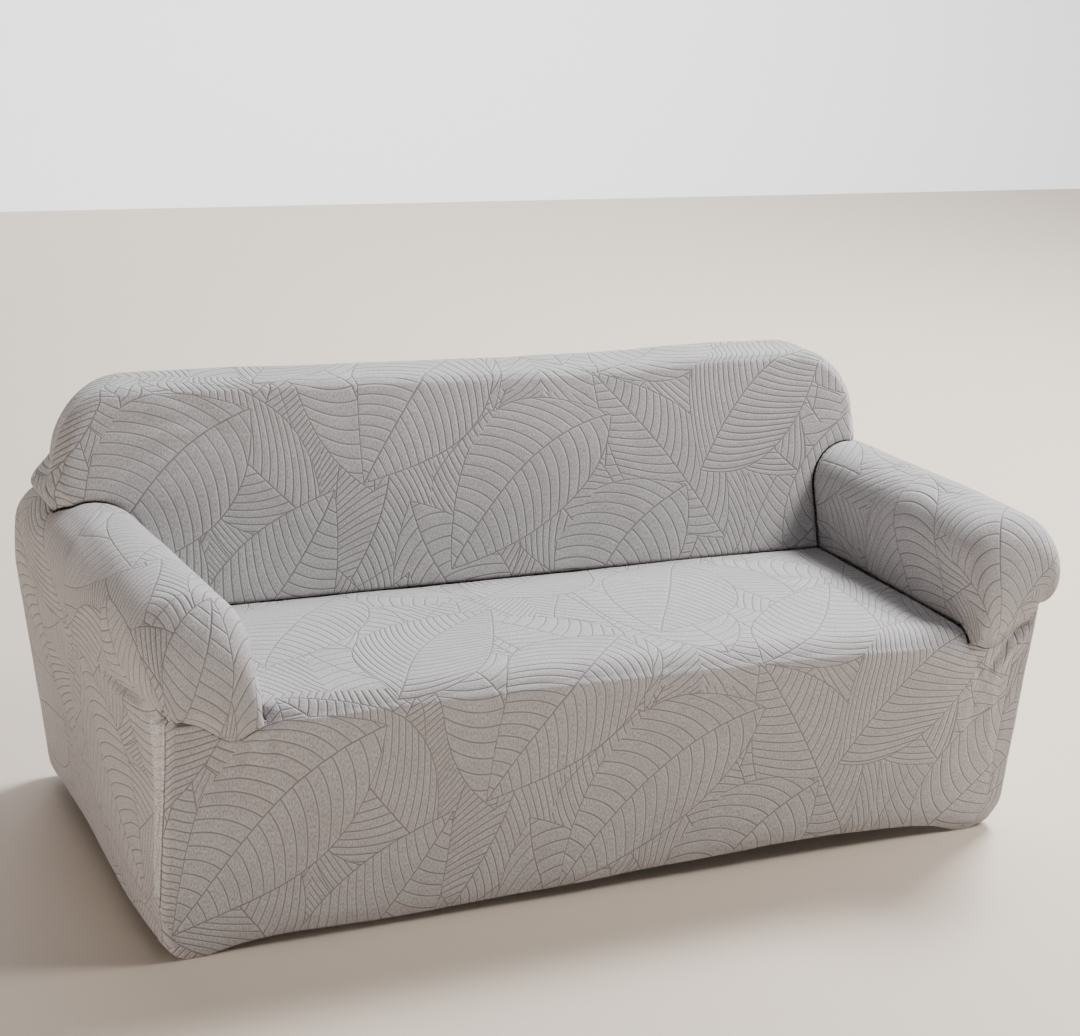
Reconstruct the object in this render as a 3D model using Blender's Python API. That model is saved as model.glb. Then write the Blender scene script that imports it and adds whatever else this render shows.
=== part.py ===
"""A fitted stretch slipcover for a sofa with rolled arms, as it hangs when it is pulled on.

Five cut pieces of one jacquard cloth are sewn together: the seat with its front, the two arms with
their outer sides, the inside of the back with the band over its top, and the rear. The cover is
hollow and open at the hem.
Lengths are metres. +X is to the right of someone facing the sofa, +Y to the back and +Z up.
While a piece is being shaped, x is counted from the middle of the seat, y from the front hem line
and z from the floor; place() then moves it so that the whole cover's box stands on the origin.
"""

from math import pi, radians

import bmesh
import bpy
import numpy as np

# Cloth
CLOTH = 0.0025
SEAM_GAP = 0.0010
MITRE_LEAST = 0.4
SHARP_MITRE = 0.9
SHARP_TRIM = 2.0
WELD = 0.0002
INSIDE_Z = 0.30
MIDDLE = (0.0113, 0.3807, 0.0005)

# Seat and front
SEAT_LEFT_Z = 0.448
SEAT_RIGHT_Z = 0.429
SEAT_CROWN = 0.014
SEAT_CROWN_RUN = 0.16
SEAT_FALL_Y = 0.30
CREST_RADIUS = 0.055
CREST_ANGLE = radians(55)
FRONT_LEAN = 0.042
FRONT_LEAN_Z = 0.40
FRONT_CORNER_LEAN = 0.35
FRONT_CORNER_X = 0.60
FRONT_CORNER_RUN = 0.25
HEM_TUCK = 0.008
HEM_TUCK_Z = 0.035

# Front and side corners
CORNER_TOP_Z = 0.44
CORNER_RADIUS = 0.015
FOOT_RADIUS = 0.045
FOOT_Z = 0.07

# Arms
ROLL_Z = 0.535
ROLL_BELOW = 0.104
ROLL_UNDER_ANGLE = radians(48)
ROLL_INNER_SHARE = 0.20
ROLL_UNDER_SPREAD = 0.028
ROLL_NOTCH_Y = 0.03
ROLL_NOTCH_LENGTH = 0.22
ROLL_LENGTH = 0.75
ROLL_FRONT_DEPTH = 0.070
ROLL_FRONT_BULGE = 0.026
ROLL_FRONT_POWER = 2.5
SEAT_SEAM_REACH = 0.25
SIDE_LEAN_RUN = 0.5
REAR_RADIUS = 0.034
REAR_Y_TOP = 0.778
REAR_Y_HEM = 0.806
REAR_FIRST_DROP = 0.025

# Back
CREASE_Y = 0.500
CREASE_Z = 0.428
FACE_SLOPE = 0.43
FACE_BULGE = 0.012
BACK_TOP = 0.806
FRONT_EDGE_Z = 0.800
BACK_FOOT_Z = 0.63
BACK_TAPER_Y = 0.62
BACK_TAPER_RUN = 0.13
FOOT_START_Y = 0.60
FOOT_ROUND = 0.020
FOOT_ROUND_RUN = 0.030
CREASE_SPREAD = 0.35
FOOT_CLEAR = 0.002
FOOT_CLEAR_REACH = 0.05
SAG_FOOT_Z = 0.68
SAG_RISE = 0.10

# Loose fold of the back's cloth that hangs over the left arm
LIP_OUT = 0.036
LIP_UP = 0.004
LIP_Y = 0.690
LIP_SPAN = 0.075
LIP_START_X = 0.80
LIP_END_Y = 0.76
LIP_FADE = 0.03
LIP_SHARE = 0.010
LIP_HEIGHT_SHARE = 0.020

# Folded strip down the front corner of the left side
STRIP_WIDTH = 0.033
STRIP_RAISE = 0.003
STRIP_START = 0.002
STRIP_FOOT_Z = 0.10
STRIP_FADE = 0.10

CLOTH_COLOUR = (0.46, 0.44, 0.44, 1.0)
CLOTH_ROUGHNESS = 0.95

# Tables
# Half widths to each side of the middle: the seat, the roll's inner side, the front corner at the
# hem and under the roll, the roll's outermost line in front and at the rear, the rear hem, the
# back's front edge and how much narrower the back is at the rear.
HALF = {
    "left": {
        "seat": 0.690,
        "roll_inner": 0.704,
        "corner_hem": 0.848,
        "corner_top": 0.853,
        "roll_front": 0.905,
        "roll_rear": 0.889,
        "hem_rear": 0.813,
        "back": 0.860,
        "back_taper": 0.036,
    },
    "right": {
        "seat": 0.711,
        "roll_inner": 0.713,
        "corner_hem": 0.860,
        "corner_top": 0.876,
        "roll_front": 0.927,
        "roll_rear": 0.905,
        "hem_rear": 0.824,
        "back": 0.850,
        "back_taper": 0.020,
    },
}
# Height of the front hem: the cloth drops over the two front feet and is drawn up between them.
FRONT_HEM = {
    "x": (-0.848, -0.825, -0.79, -0.765, -0.73, -0.42, 0.05, 0.52, 0.70, 0.785, 0.83, 0.86),
    "z": (0.030, 0.010, 0.000, 0.002, 0.009, 0.015, 0.026, 0.032, 0.018, 0.000, 0.014, 0.026),
}
# Height of each side hem, by distance behind the front.
SIDE_HEM = {
    "y": (0.00, 0.08, 0.15, 0.34, 0.58, 0.82),
    "left": (0.030, 0.026, 0.022, 0.021, 0.027, 0.023),
    "right": (0.030, 0.034, 0.032, 0.028, 0.020, 0.023),
}
# Height of each roll's ridge.
ROLL_RIDGE = {
    "y": (0.00, 0.22, 0.45, 0.75),
    "left": (0.633, 0.631, 0.623, 0.615),
    "right": (0.630, 0.634, 0.628, 0.619),
}
# The seam under each roll's front, from the seat corner (0) past the front corner (1 to 2):
# how far it lies below or above the seat corner.
UNDER_SEAM = {
    "way": (0.0, 0.35, 0.80, 1.10, 1.60, 2.0),
    "left": (0.0, -0.030, 0.004, 0.010, 0.026, 0.034),
    "right": (0.0, -0.018, 0.016, 0.050, 0.058, 0.056),
}
# Where the front's side seams meet the rolls, as a share of the way round the roll.
FRONT_SEAM_SHARE = {"left": 1.0, "right": 0.475}
BACK_CORNER_RADIUS = {"left": 0.140, "right": 0.115}
# Height of the back's top edge, against its full height.
TOP_LINE = {
    "x": (-0.86, -0.60, -0.20, 0.30, 0.50, 0.86),
    "z": (0.000, 0.000, -0.006, -0.009, -0.002, -0.004),
}
# The arches that turn the back's front edge: inset at the ends and the top, and the way behind.
EDGE_LOOPS = {
    "end": (0.020, 0.006, 0.0),
    "top": (0.012, 0.0035, 0.0),
    "behind": (0.0, 0.007, 0.020),
}
SIGN = {"left": -1, "right": 1}


def lerp(a, b, t):
    return a + (b - a) * t


def ease(t):
    t = np.clip(t, 0.0, 1.0)
    return t * t * (3.0 - 2.0 * t)


def through(xs, ys, x):
    """A smooth curve through the points (xs, ys), read at x."""
    xs = np.asarray(xs, float)
    ys = np.asarray(ys, float)
    x = np.clip(x, xs[0], xs[-1])
    slope = np.gradient(ys, xs)
    i = np.clip(np.searchsorted(xs, x, side="right") - 1, 0, len(xs) - 2)
    step = xs[i + 1] - xs[i]
    t = (x - xs[i]) / step
    start = (1 + 2 * t) * (1 - t) ** 2 * ys[i] + t * (1 - t) ** 2 * step * slope[i]
    end = t * t * (3 - 2 * t) * ys[i + 1] + t * t * (t - 1) * step * slope[i + 1]
    return start + end


def stack(x, y, z):
    x, y, z = np.broadcast_arrays(x, y, z)
    return np.stack([x, y, z], axis=-1).astype(float)


# ---- seat and front -------------------------------------------------------------------------


def seat_x(x_share):
    """From the seat's left edge (-1) to its right edge (1)."""
    return lerp(-HALF["left"]["seat"], HALF["right"]["seat"], (x_share + 1) / 2)


def seat_share(x):
    width = HALF["left"]["seat"] + HALF["right"]["seat"]
    return np.clip(2 * (x + HALF["left"]["seat"]) / width - 1, -1, 1)


def seat_edge_x(side):
    return SIGN[side] * HALF[side]["seat"]


def seat_side_z(x):
    """Height of the seat's edge, which is a little lower on the right."""
    return lerp(SEAT_LEFT_Z, SEAT_RIGHT_Z, (seat_share(x) + 1) / 2)


def seat_z(x, y):
    across = 1 - np.abs(seat_share(x)) ** 3
    along = ease((CREASE_Y - y) / SEAT_CROWN_RUN)
    back = ease((y - SEAT_FALL_Y) / (CREASE_Y - SEAT_FALL_Y))
    edge = lerp(seat_side_z(x), CREASE_Z, back)
    return edge + SEAT_CROWN * across * along


def front_y(x, z):
    """The front face leans out as it rises, less so at the corners."""
    lean = FRONT_LEAN * ease(0.5 * z / FRONT_LEAN_Z) * 2
    flank = ease((np.abs(x) - FRONT_CORNER_X) / FRONT_CORNER_RUN)
    return -lean * lerp(1.0, FRONT_CORNER_LEAN, flank)


def crest_start(x):
    """Where the seat starts to round over, and the centre height of that round."""
    z = seat_z(x, 0.0)
    return front_y(x, z - CREST_RADIUS) + CREST_RADIUS, z - CREST_RADIUS


def crest(x, angle):
    y, z = crest_start(x)
    return y - CREST_RADIUS * np.sin(angle), z + CREST_RADIUS * np.cos(angle)


def seat_corner_z(side):
    return crest(seat_edge_x(side), CREST_ANGLE)[1]


def below_crest_y(x, z, fade):
    """The front face with what is left of the crest's round, which fades under the rolls."""
    y_start, z_centre = crest_start(x)
    above = np.clip((z - z_centre) / CREST_RADIUS, 0.0, 0.95)
    return front_y(x, z) + CREST_RADIUS * (1 - np.sqrt(1 - above**2)) * fade


def corner_half(side, z):
    half = HALF[side]
    return lerp(half["corner_hem"], half["corner_top"], np.clip(z / CORNER_TOP_Z, 0, 1.2))


def corner_radius(z):
    return lerp(FOOT_RADIUS, CORNER_RADIUS, ease(z / FOOT_Z))


def hem_z(side, x, y):
    front = through(FRONT_HEM["x"], FRONT_HEM["z"], SIGN[side] * x)
    beside = through(SIDE_HEM["y"], SIDE_HEM[side], y)
    return lerp(front, beside, ease(y / 0.05))


def hem_tuck(z, hem):
    return HEM_TUCK * (1 - np.clip((z - hem) / HEM_TUCK_Z, 0, 1)) ** 2


def under_seam_z(side, way):
    return seat_corner_z(side) + through(UNDER_SEAM["way"], UNDER_SEAM[side], way)


def corner_plan(side, way, z):
    """A point of the outline in plan below a roll, counted outwards from the middle.

    way is 0 at the seat's corner, 1 where the front starts to turn and 2 at the side.
    """
    radius = corner_radius(z)
    half = corner_half(side, z)
    turn = np.clip(way - 1, 0, 1) * pi / 2
    x = lerp(HALF[side]["seat"], half - radius, np.clip(way, 0, 1)) + radius * np.sin(turn)
    y_turn = radius * (1 - np.cos(turn))
    return x, y_turn


def front_flap(side, way, drop):
    """The front below a roll. drop is 0 at the seam under the roll and 1 at the hem."""
    top = under_seam_z(side, way)
    x_guess, y_guess = corner_plan(side, way, 0.0)
    hem = hem_z(side, x_guess, y_guess + front_y(x_guess, 0.0))
    z = lerp(top, hem, drop)
    x, y_turn = corner_plan(side, way, z)
    fade = 1 - ease(way / 0.5)
    y = below_crest_y(SIGN[side] * x, z, fade) + y_turn
    tuck = hem_tuck(z, hem)
    turned = np.clip(way - 1, 0, 1)
    x = x - tuck * turned
    y = y + tuck * (1 - turned)
    return stack(SIGN[side] * x, y, z)


def seat_top(x_share, back_share):
    """The seat from its front crest (0) to the crease at the back (1)."""
    x = seat_x(x_share)
    y_start, z_centre = crest_start(x)
    y = lerp(y_start, CREASE_Y, back_share)
    return stack(x, y, seat_z(x, y))


def seat_crest(x_share, angle):
    x = seat_x(x_share)
    y, z = crest(x, angle)
    return stack(x, y, z)


def front_middle(x_share, drop):
    x = seat_x(x_share)
    top = crest(x, CREST_ANGLE)[1]
    hem = through(FRONT_HEM["x"], FRONT_HEM["z"], x)
    z = lerp(top, hem, drop)
    y = below_crest_y(x, z, 1.0) + hem_tuck(z, hem)
    return stack(x, y, z)


# ---- arms -----------------------------------------------------------------------------------


def arm_crease_z(side, y):
    """Height of the crease between seat and arm, over the crest and down to the corner."""
    x = seat_edge_x(side)
    y_start, z_centre = crest_start(x)
    over = np.clip((y_start - y) / CREST_RADIUS, 0.0, 0.98)
    crest_z = z_centre + CREST_RADIUS * np.sqrt(1 - over**2)
    return np.where(y < y_start, crest_z, seat_z(x, y))


def roll_half(side, y):
    """The roll's outermost line, from the middle."""
    half = HALF[side]
    return lerp(half["roll_front"], half["roll_rear"], ease(y / ROLL_LENGTH))


def roll_middle(side, y):
    """The roll's centre line and half width."""
    inner = HALF[side]["roll_inner"]
    return (roll_half(side, y) + inner) / 2, (roll_half(side, y) - inner) / 2


def side_half_at(side, y, z):
    """Half width of the outer side, stretched from the roll down to the hem."""
    half = HALF[side]
    front = corner_half(side, z)
    hem = lerp(half["corner_hem"], half["hem_rear"], ease(y / ROLL_LENGTH))
    stretched = lerp(hem, roll_half(side, y), np.clip(z / ROLL_Z, 0, 1))
    return lerp(front, stretched, ease(y / ROLL_NOTCH_LENGTH))


def roll_section(side, share, y):
    """Section of a roll at depth y: share 0 at the seat, 1 on its outer underside."""
    up = np.clip(share / ROLL_INNER_SHARE, 0, 1)
    turn = np.clip((share - ROLL_INNER_SHARE) / (1 - ROLL_INNER_SHARE), 0, 1)
    angle = lerp(pi, -ROLL_UNDER_ANGLE, turn)
    ridge = through(ROLL_RIDGE["y"], ROLL_RIDGE[side], y)
    radius_z = np.where(angle > 0, ridge - ROLL_Z, ROLL_BELOW)
    middle, radius_x = roll_middle(side, y)
    x = middle + radius_x * np.cos(angle)
    z = ROLL_Z + radius_z * np.sin(angle)
    under = np.clip(-angle / ROLL_UNDER_ANGLE, 0, 1) ** 1.9
    spread = ROLL_UNDER_SPREAD * ease((y - ROLL_NOTCH_Y) / ROLL_NOTCH_LENGTH)
    x = x + under * spread
    inner = share < ROLL_INNER_SHARE
    x = np.where(inner, lerp(HALF[side]["seat"], middle - radius_x, up), x)
    z = np.where(inner, lerp(arm_crease_z(side, y), ROLL_Z, up), z)
    return x, z


def share_at_x(side, x, y):
    """The place on the outer half of a roll's section that lies at x."""
    middle, radius_x = roll_middle(side, y)
    angle = np.arccos(np.clip((x - middle) / radius_x, -1, 1))
    turn = (pi - angle) / (pi + ROLL_UNDER_ANGLE)
    return ROLL_INNER_SHARE + turn * (1 - ROLL_INNER_SHARE)


FOOT_SHARE = {
    side: float(share_at_x(side, HALF[side]["back"], FOOT_START_Y)) for side in ("left", "right")
}


def face_y(x, z):
    """The inside of the back leans away as it rises and swells between its edges."""
    height = np.clip((z - CREASE_Z) / (BACK_TOP - CREASE_Z), 0, 1)
    across = 1 - np.abs(np.clip(x / HALF["left"]["back"], -1, 1)) ** 4
    swell = FACE_BULGE * np.sin(pi * height) * across
    return CREASE_Y + FACE_SLOPE * (z - CREASE_Z) - swell


def back_half(side, y):
    """Half width of the back's end above the arm, which tapers to the rear."""
    taper = HALF[side]["back_taper"] * np.clip((y - BACK_TAPER_Y) / BACK_TAPER_RUN, 0, 1)
    return HALF[side]["back"] - taper


def roll_stop_y(side, share):
    """Where a roll's cloth ends against the back."""
    x, z = roll_section(side, share, FOOT_START_Y)
    edge = HALF[side]["back"] - FOOT_ROUND
    rounding = FOOT_ROUND_RUN * ease((x - edge + 0.01) / FOOT_ROUND_RUN) * (share > 0.3)
    return face_y(x, z) + rounding


def front_way(side, share):
    """The place on the seam under the roll that a line of the roll's cloth runs down to."""
    return np.interp(share, (0.0, FOOT_SHARE[side], 1.0), (0.0, 1.0, 2.0))


def roll_front_start(side, share):
    """The seam under the roll's front, where its cloth starts."""
    return front_flap(side, front_way(side, share), 0.0)


def roll_front(side, share, rise):
    """The roll's rounded front end: rise 0 at its seam, 1 where the straight roll starts."""
    start = roll_front_start(side, share)
    angle = rise * pi / 2
    grow = np.sin(angle) ** (2 / ROLL_FRONT_POWER)
    back = 1 - np.cos(angle) ** (2 / ROLL_FRONT_POWER)
    plump = np.sqrt(np.clip(np.sin(pi * share), 0, 1))
    y = start[..., 1] + ROLL_FRONT_DEPTH * back - ROLL_FRONT_BULGE * plump * 4 * grow * (1 - grow)
    y_end = start[..., 1] + ROLL_FRONT_DEPTH
    x_end, z_end = roll_section(side, share, y_end)
    x = lerp(np.abs(start[..., 0]), x_end, grow)
    z = lerp(start[..., 2], z_end, grow)
    y_corner = crest(seat_edge_x(side), CREST_ANGLE)[0]
    seat_edge = lerp(seat_corner_z(side), arm_crease_z(side, y_corner + ROLL_FRONT_DEPTH), grow)
    along_seat = arm_crease_z(side, y_corner + y - start[..., 1]) - seat_edge
    z = z + along_seat * np.clip(1 - share / SEAT_SEAM_REACH, 0, 1) ** 2
    return stack(SIGN[side] * x, y, z)


def roll_straight(side, share, along):
    """The roll from its rounded front (0) to the back (1)."""
    y_start = roll_front_start(side, share)[..., 1] + ROLL_FRONT_DEPTH
    y = lerp(y_start, roll_stop_y(side, share), along)
    x, z = roll_section(side, share, y)
    return stack(SIGN[side] * x, y, z)


def foot_share(side, y):
    """The line of the roll's cloth that the end of the back stands on."""
    return share_at_x(side, back_half(side, y), y)


def rear_y(z):
    return lerp(REAR_Y_HEM, REAR_Y_TOP, np.clip(z / BACK_TOP, 0, 1))


def roll_beside_back(side, across, along):
    """The roll's outer part beside the back: across 0 at the back's foot, 1 at the underside."""
    share_start = lerp(FOOT_SHARE[side], 1.0, across)
    y_start = roll_stop_y(side, share_start)
    y = lerp(y_start, REAR_Y_TOP - REAR_RADIUS, along)
    share = lerp(foot_share(side, y), 1.0, across)
    share = lerp(share_start, share, ease(along * 4))
    x, z = roll_section(side, share, y)
    return stack(SIGN[side] * x, y, z)


def roll_rear_turn(side, across, turn):
    """The roll's outer part where it turns round the rear corner: turn 0 to 1."""
    y_start = REAR_Y_TOP - REAR_RADIUS
    share = lerp(foot_share(side, y_start), 1.0, across)
    x, z = roll_section(side, share, y_start)
    middle, radius_x = roll_middle(side, y_start)
    out_x = (x - middle) / radius_x
    out_z = (z - ROLL_Z) / ROLL_BELOW
    length = np.sqrt(out_x**2 + out_z**2)
    shrink = REAR_RADIUS * (1 - np.cos(turn * pi / 2))
    y = y_start + (rear_y(z) - y_start) * np.sin(turn * pi / 2)
    x = x - shrink * out_x / length
    z = z - shrink * out_z / length * np.clip(out_z, 0, 1)
    return stack(SIGN[side] * x, y, z)


def side_panel(side, top, drop):
    """The outer side below a line of points at the roll's underside. drop is 1 at the hem."""
    y_top = top[..., 1]
    z_top = top[..., 2]
    hem = through(SIDE_HEM["y"], SIDE_HEM[side], y_top)
    z = lerp(z_top, hem, drop)
    x_corner = HALF[side]["corner_top"]
    y_first = corner_plan(side, 2.0, z_top)[1] + front_y(x_corner, z_top)
    y_first_here = corner_plan(side, 2.0, z)[1] + front_y(x_corner, z)
    y = y_top + (y_first_here - y_first) * (1 - ease(y_top / SIDE_LEAN_RUN))
    slack = np.abs(top[..., 0]) - side_half_at(side, y_top, z_top)
    x = side_half_at(side, y, z) + slack * (1 - drop)
    x = x - hem_tuck(z, hem)
    return stack(SIGN[side] * x, y, z)


def raise_strip(points):
    """The folded strip that lies on the left side behind the front corner."""
    behind = points[..., 1] - points[:1, :, 1]
    on_strip = (behind > STRIP_START) & (behind < STRIP_WIDTH)
    height = points[..., 2]
    fade = ease((height - STRIP_FOOT_Z) / STRIP_FADE)
    return points - stack(STRIP_RAISE * on_strip * fade, 0.0, 0.0)


def side_rear_turn(side, top, top_start, drop, turn):
    """The outer side where it turns round the rear corner."""
    flat = side_panel(side, top_start, drop)
    z = flat[..., 2]
    y_start = flat[..., 1]
    shrink = REAR_RADIUS * (1 - np.cos(turn * pi / 2))
    y_rear = rear_y(z) - hem_tuck(z, through(SIDE_HEM["y"], SIDE_HEM[side], y_start))
    y = y_start + (y_rear - y_start) * np.sin(turn * pi / 2)
    x = np.abs(flat[..., 0]) - shrink
    x = x + (np.abs(top[..., 0]) - (np.abs(top_start[..., 0]) - shrink)) * (1 - ease(drop * 2))
    return stack(SIGN[side] * x, y, z)


# ---- back -----------------------------------------------------------------------------------


def arch(share, half, radius, top, foot_z):
    """An arch over the back's width: up the left end, over the top and down the right end.

    half and radius hold the left and right half widths and corner radii.
    """
    ends = [top - radius[k] - foot_z for k in range(2)]
    turns = [radius[k] * pi / 2 for k in range(2)]
    middle = half[0] + half[1] - radius[0] - radius[1]
    lengths = np.array([ends[0], turns[0], middle, turns[1], ends[1]])
    marks = np.concatenate([[0.0], np.cumsum(lengths) / lengths.sum()])
    part = [np.clip((share - marks[k]) / (marks[k + 1] - marks[k]), 0, 1) for k in range(5)]
    x = -half[0] + radius[0] * (1 - np.cos(part[1] * pi / 2))
    x = x + middle * part[2] + radius[1] * np.sin(part[3] * pi / 2)
    z = foot_z + ends[0] * part[0] + radius[0] * np.sin(part[1] * pi / 2)
    z = z + (radius[1] + ends[1] - radius[0] - ends[0]) * part[2]
    z = z - radius[1] * (1 - np.cos(part[3] * pi / 2)) - ends[1] * part[4]
    return x, z


def near_foot(share, reach):
    return np.clip(1 - share / reach, 0, 1) ** 2


def fit_to_feet(points, share, left, right, reach=0.12):
    """Moves the ends of an arch on to the seam points left and right, fading inwards."""
    from_left = (left - points[:, :1]) * near_foot(share, reach)[..., None]
    from_right = (right - points[:, -1:]) * near_foot(1 - share, reach)[..., None]
    return points + from_left + from_right


def blend_between(first, last, v, left, right, share, reach=0.30):
    """A patch between two curves, its ends drawn on to two side curves."""
    points = lerp(first, last, v[..., None])
    return fit_to_feet(points, share, left[:, None, :], right[:, None, :], reach)


def place(points):
    return points - np.array(MIDDLE)


# ---- meshes ---------------------------------------------------------------------------------


def add_grid(bm, points):
    """Adds a grid of points as faces to the mesh being made."""
    rows, columns = points.shape[:2]
    verts = [[bm.verts.new(place(points[r, c])) for c in range(columns)] for r in range(rows)]
    for r in range(rows - 1):
        for c in range(columns - 1):
            bm.faces.new((verts[r][c], verts[r][c + 1], verts[r + 1][c + 1], verts[r + 1][c]))


def into_cloth(edge):
    """The direction from a cut edge into the cloth beside it."""
    ends = [vert.co for vert in edge.verts]
    line = (ends[1] - ends[0]).normalized()
    way = edge.link_faces[0].calc_center_median() - (ends[0] + ends[1]) / 2
    return (way - line * way.dot(line)).normalized()


def draw_in_edges(bm, distance):
    """Draws the cut edges in along the cloth, which leaves the seam its gap."""
    moves = {}
    for vert in bm.verts:
        ways = [into_cloth(edge) for edge in vert.link_edges if edge.is_boundary]
        if len(ways) == 2:
            mitre = max(1 + ways[0].dot(ways[1]), MITRE_LEAST)
            trim = SHARP_TRIM if mitre < SHARP_MITRE else 1.0
            moves[vert] = (ways[0] + ways[1]) * distance * trim / mitre
    for vert, move in moves.items():
        vert.co += move


def face_outwards(bm):
    """Turns the cloth's faces away from the hollow."""
    bmesh.ops.recalc_face_normals(bm, faces=bm.faces)
    inside = np.array([0.0, 0.0, INSIDE_Z])
    total = 0.0
    for face in bm.faces:
        away = np.array(face.calc_center_median()) - inside
        total += float(np.dot(away, face.normal)) * face.calc_area()
    if total < 0:
        bmesh.ops.reverse_faces(bm, faces=bm.faces)


def cloth_material():
    material = bpy.data.materials.new("stretch_jacquard")
    material.use_nodes = True
    shader = material.node_tree.nodes["Principled BSDF"]
    shader.inputs["Base Color"].default_value = CLOTH_COLOUR
    shader.inputs["Roughness"].default_value = CLOTH_ROUGHNESS
    shader.inputs["Metallic"].default_value = 0.0
    return material


def make_panel(name, grids):
    """Sews grids of points into one cut piece and gives it the cloth's thickness."""
    bm = bmesh.new()
    for points in grids:
        add_grid(bm, points)
    bmesh.ops.remove_doubles(bm, verts=bm.verts, dist=WELD)
    face_outwards(bm)
    draw_in_edges(bm, SEAM_GAP)
    mesh = bpy.data.meshes.new(name)
    bm.to_mesh(mesh)
    bm.free()
    mesh.shade_smooth()
    panel = bpy.data.objects.new(name, mesh)
    bpy.context.scene.collection.objects.link(panel)
    mesh.materials.append(cloth_material())
    thickness = panel.modifiers.new("cloth", "SOLIDIFY")
    thickness.thickness = CLOTH
    thickness.offset = -1.0
    return panel


def steps(count, first=0.0, last=1.0):
    return np.linspace(first, last, count + 1)


def seat_panel():
    """Seat, crest and front in one T-shaped piece, with the fronts under the rolls."""
    across = np.concatenate([[-1.0], steps(24, -0.965, 0.965), [1.0]])
    backs = (1.0, 0.92, 0.76, 0.60, 0.45, 0.30, 0.16, 0.06)
    rows = [seat_top(across, share) for share in backs]
    rows += [seat_crest(across, angle) for angle in steps(4, 0.0, CREST_ANGLE)]
    rows += [front_middle(across, drop) for drop in DROPS[1:]]
    grids = [np.stack(rows)]
    for side, share_end in FRONT_SEAM_SHARE.items():
        ways = front_way(side, roll_shares(side, 0.0, share_end))
        grids.append(front_flap(side, ways[None, :], DROPS[:, None]))
    return make_panel("seat_panel", grids)


def inner_shares():
    return steps(9, 0.0, FRONT_SEAM_SHARE["right"])


def roll_shares(side, first, last):
    """The lines of cloth round a roll that lie between two places on its section."""
    inner = inner_shares()
    over = steps(4, inner[-1], FOOT_SHARE[side])[1:]
    outer = steps(7, FOOT_SHARE[side], 1.0)[1:]
    every = np.concatenate([inner, over, outer])
    return every[(every > first - 1e-6) & (every < last + 1e-6)]


def shares_beside_back(side):
    outer = roll_shares(side, FOOT_SHARE[side], 1.0)
    return (outer - FOOT_SHARE[side]) / (1 - FOOT_SHARE[side])


def arm_panel(side):
    """One arm: the roll with its rounded front, the outer side and the turn round the rear."""
    shares = roll_shares(side, 0.0, 1.0)[None, :]
    across = shares_beside_back(side)[None, :]
    roll = [roll_front(side, shares, RISES[:, None])]
    roll.append(roll_straight(side, shares, ALONGS[:, None]))
    rear = [roll_beside_back(side, across, BESIDES[:, None])]
    rear.append(roll_rear_turn(side, across, TURNS[:, None]))

    ways = front_way(side, roll_shares(side, FRONT_SEAM_SHARE[side], 1.0))
    below = [front_flap(side, ways[:, None], DROPS[None, :])]
    under = np.concatenate([roll[0][1:, -1], roll[1][:, -1], rear[0][1:, -1]])
    beside = side_panel(side, under[:, None, :], DROPS[None, :])
    below.append(raise_strip(beside) if side == "left" else beside)
    corner = rear[0][-1, -1]
    turned = rear[1][:, -1]
    below.append(side_rear_turn(side, turned[:, None, :], corner, DROPS[None, :], TURNS[:, None]))
    grids = [np.concatenate(roll), np.concatenate(rear), np.concatenate(below)]
    return make_panel("arm_" + side, grids)


def arch_loop(share, end_inset, top_inset, top, along=0.0):
    """An arch drawn in by its insets and, along the band to the rear, by the back's taper."""
    half = [HALF[side]["back"] - HALF[side]["back_taper"] * along - end_inset for side in SIGN]
    radius = [BACK_CORNER_RADIUS[side] - top_inset for side in SIGN]
    return arch(share, half, radius, top - top_inset, BACK_FOOT_Z)


def top_sag(x, z):
    sag = through(TOP_LINE["x"], TOP_LINE["z"], x)
    return sag * ease((z - SAG_FOOT_Z) / SAG_RISE)


def front_edge_loop(share, end_inset, top_inset, behind):
    """An arch near the front edge of the back."""
    x, z = arch_loop(share, end_inset, top_inset, FRONT_EDGE_Z)
    z = z + top_sag(x, z)
    return stack(x, face_y(x, z) + behind, z)


def band_loop(share, along):
    """An arch on the band over the back's top and ends: along 0 in front, 1 at the rear."""
    first = front_edge_loop(share, 0.0, 0.0, EDGE_LOOPS["behind"][-1])
    y = lerp(first[..., 1], REAR_Y_TOP - REAR_RADIUS, along)
    x, z = arch_loop(share, 0.0, 0.0, lerp(FRONT_EDGE_Z, BACK_TOP, ease(along)), along)
    return stack(x, y, z + top_sag(x, z))


def rear_turn_loop(share, turn):
    """An arch on the round from the band to the rear."""
    shrink = REAR_RADIUS * (1 - np.cos(turn * pi / 2))
    x, z = arch_loop(share, shrink, shrink, BACK_TOP, 1.0)
    z = z + top_sag(x, z)
    y_start = REAR_Y_TOP - REAR_RADIUS
    return stack(x, y_start + (rear_y(z) - y_start) * np.sin(turn * pi / 2), z)


def raise_lip(points, share):
    """The loose fold at the left foot of the back, which hangs out over the arm."""
    above = np.clip(share / LIP_SHARE, 0, 1) * ease(1 - (share - LIP_SHARE) / LIP_HEIGHT_SHARE)
    near = above * np.exp(-(((points[..., 1] - LIP_Y) / LIP_SPAN) ** 2))
    near = near * ease((-points[..., 0] - LIP_START_X) / LIP_FADE)
    near = near * ease((LIP_END_Y - points[..., 1]) / LIP_FADE)
    return points + stack(-LIP_OUT * near, 0.0, LIP_UP * near)


def edge_foot_share(side, inset):
    """The line of the roll's cloth under an arch near the back's front edge."""
    return float(share_at_x(side, HALF[side]["back"] - inset, FOOT_START_Y))


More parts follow.
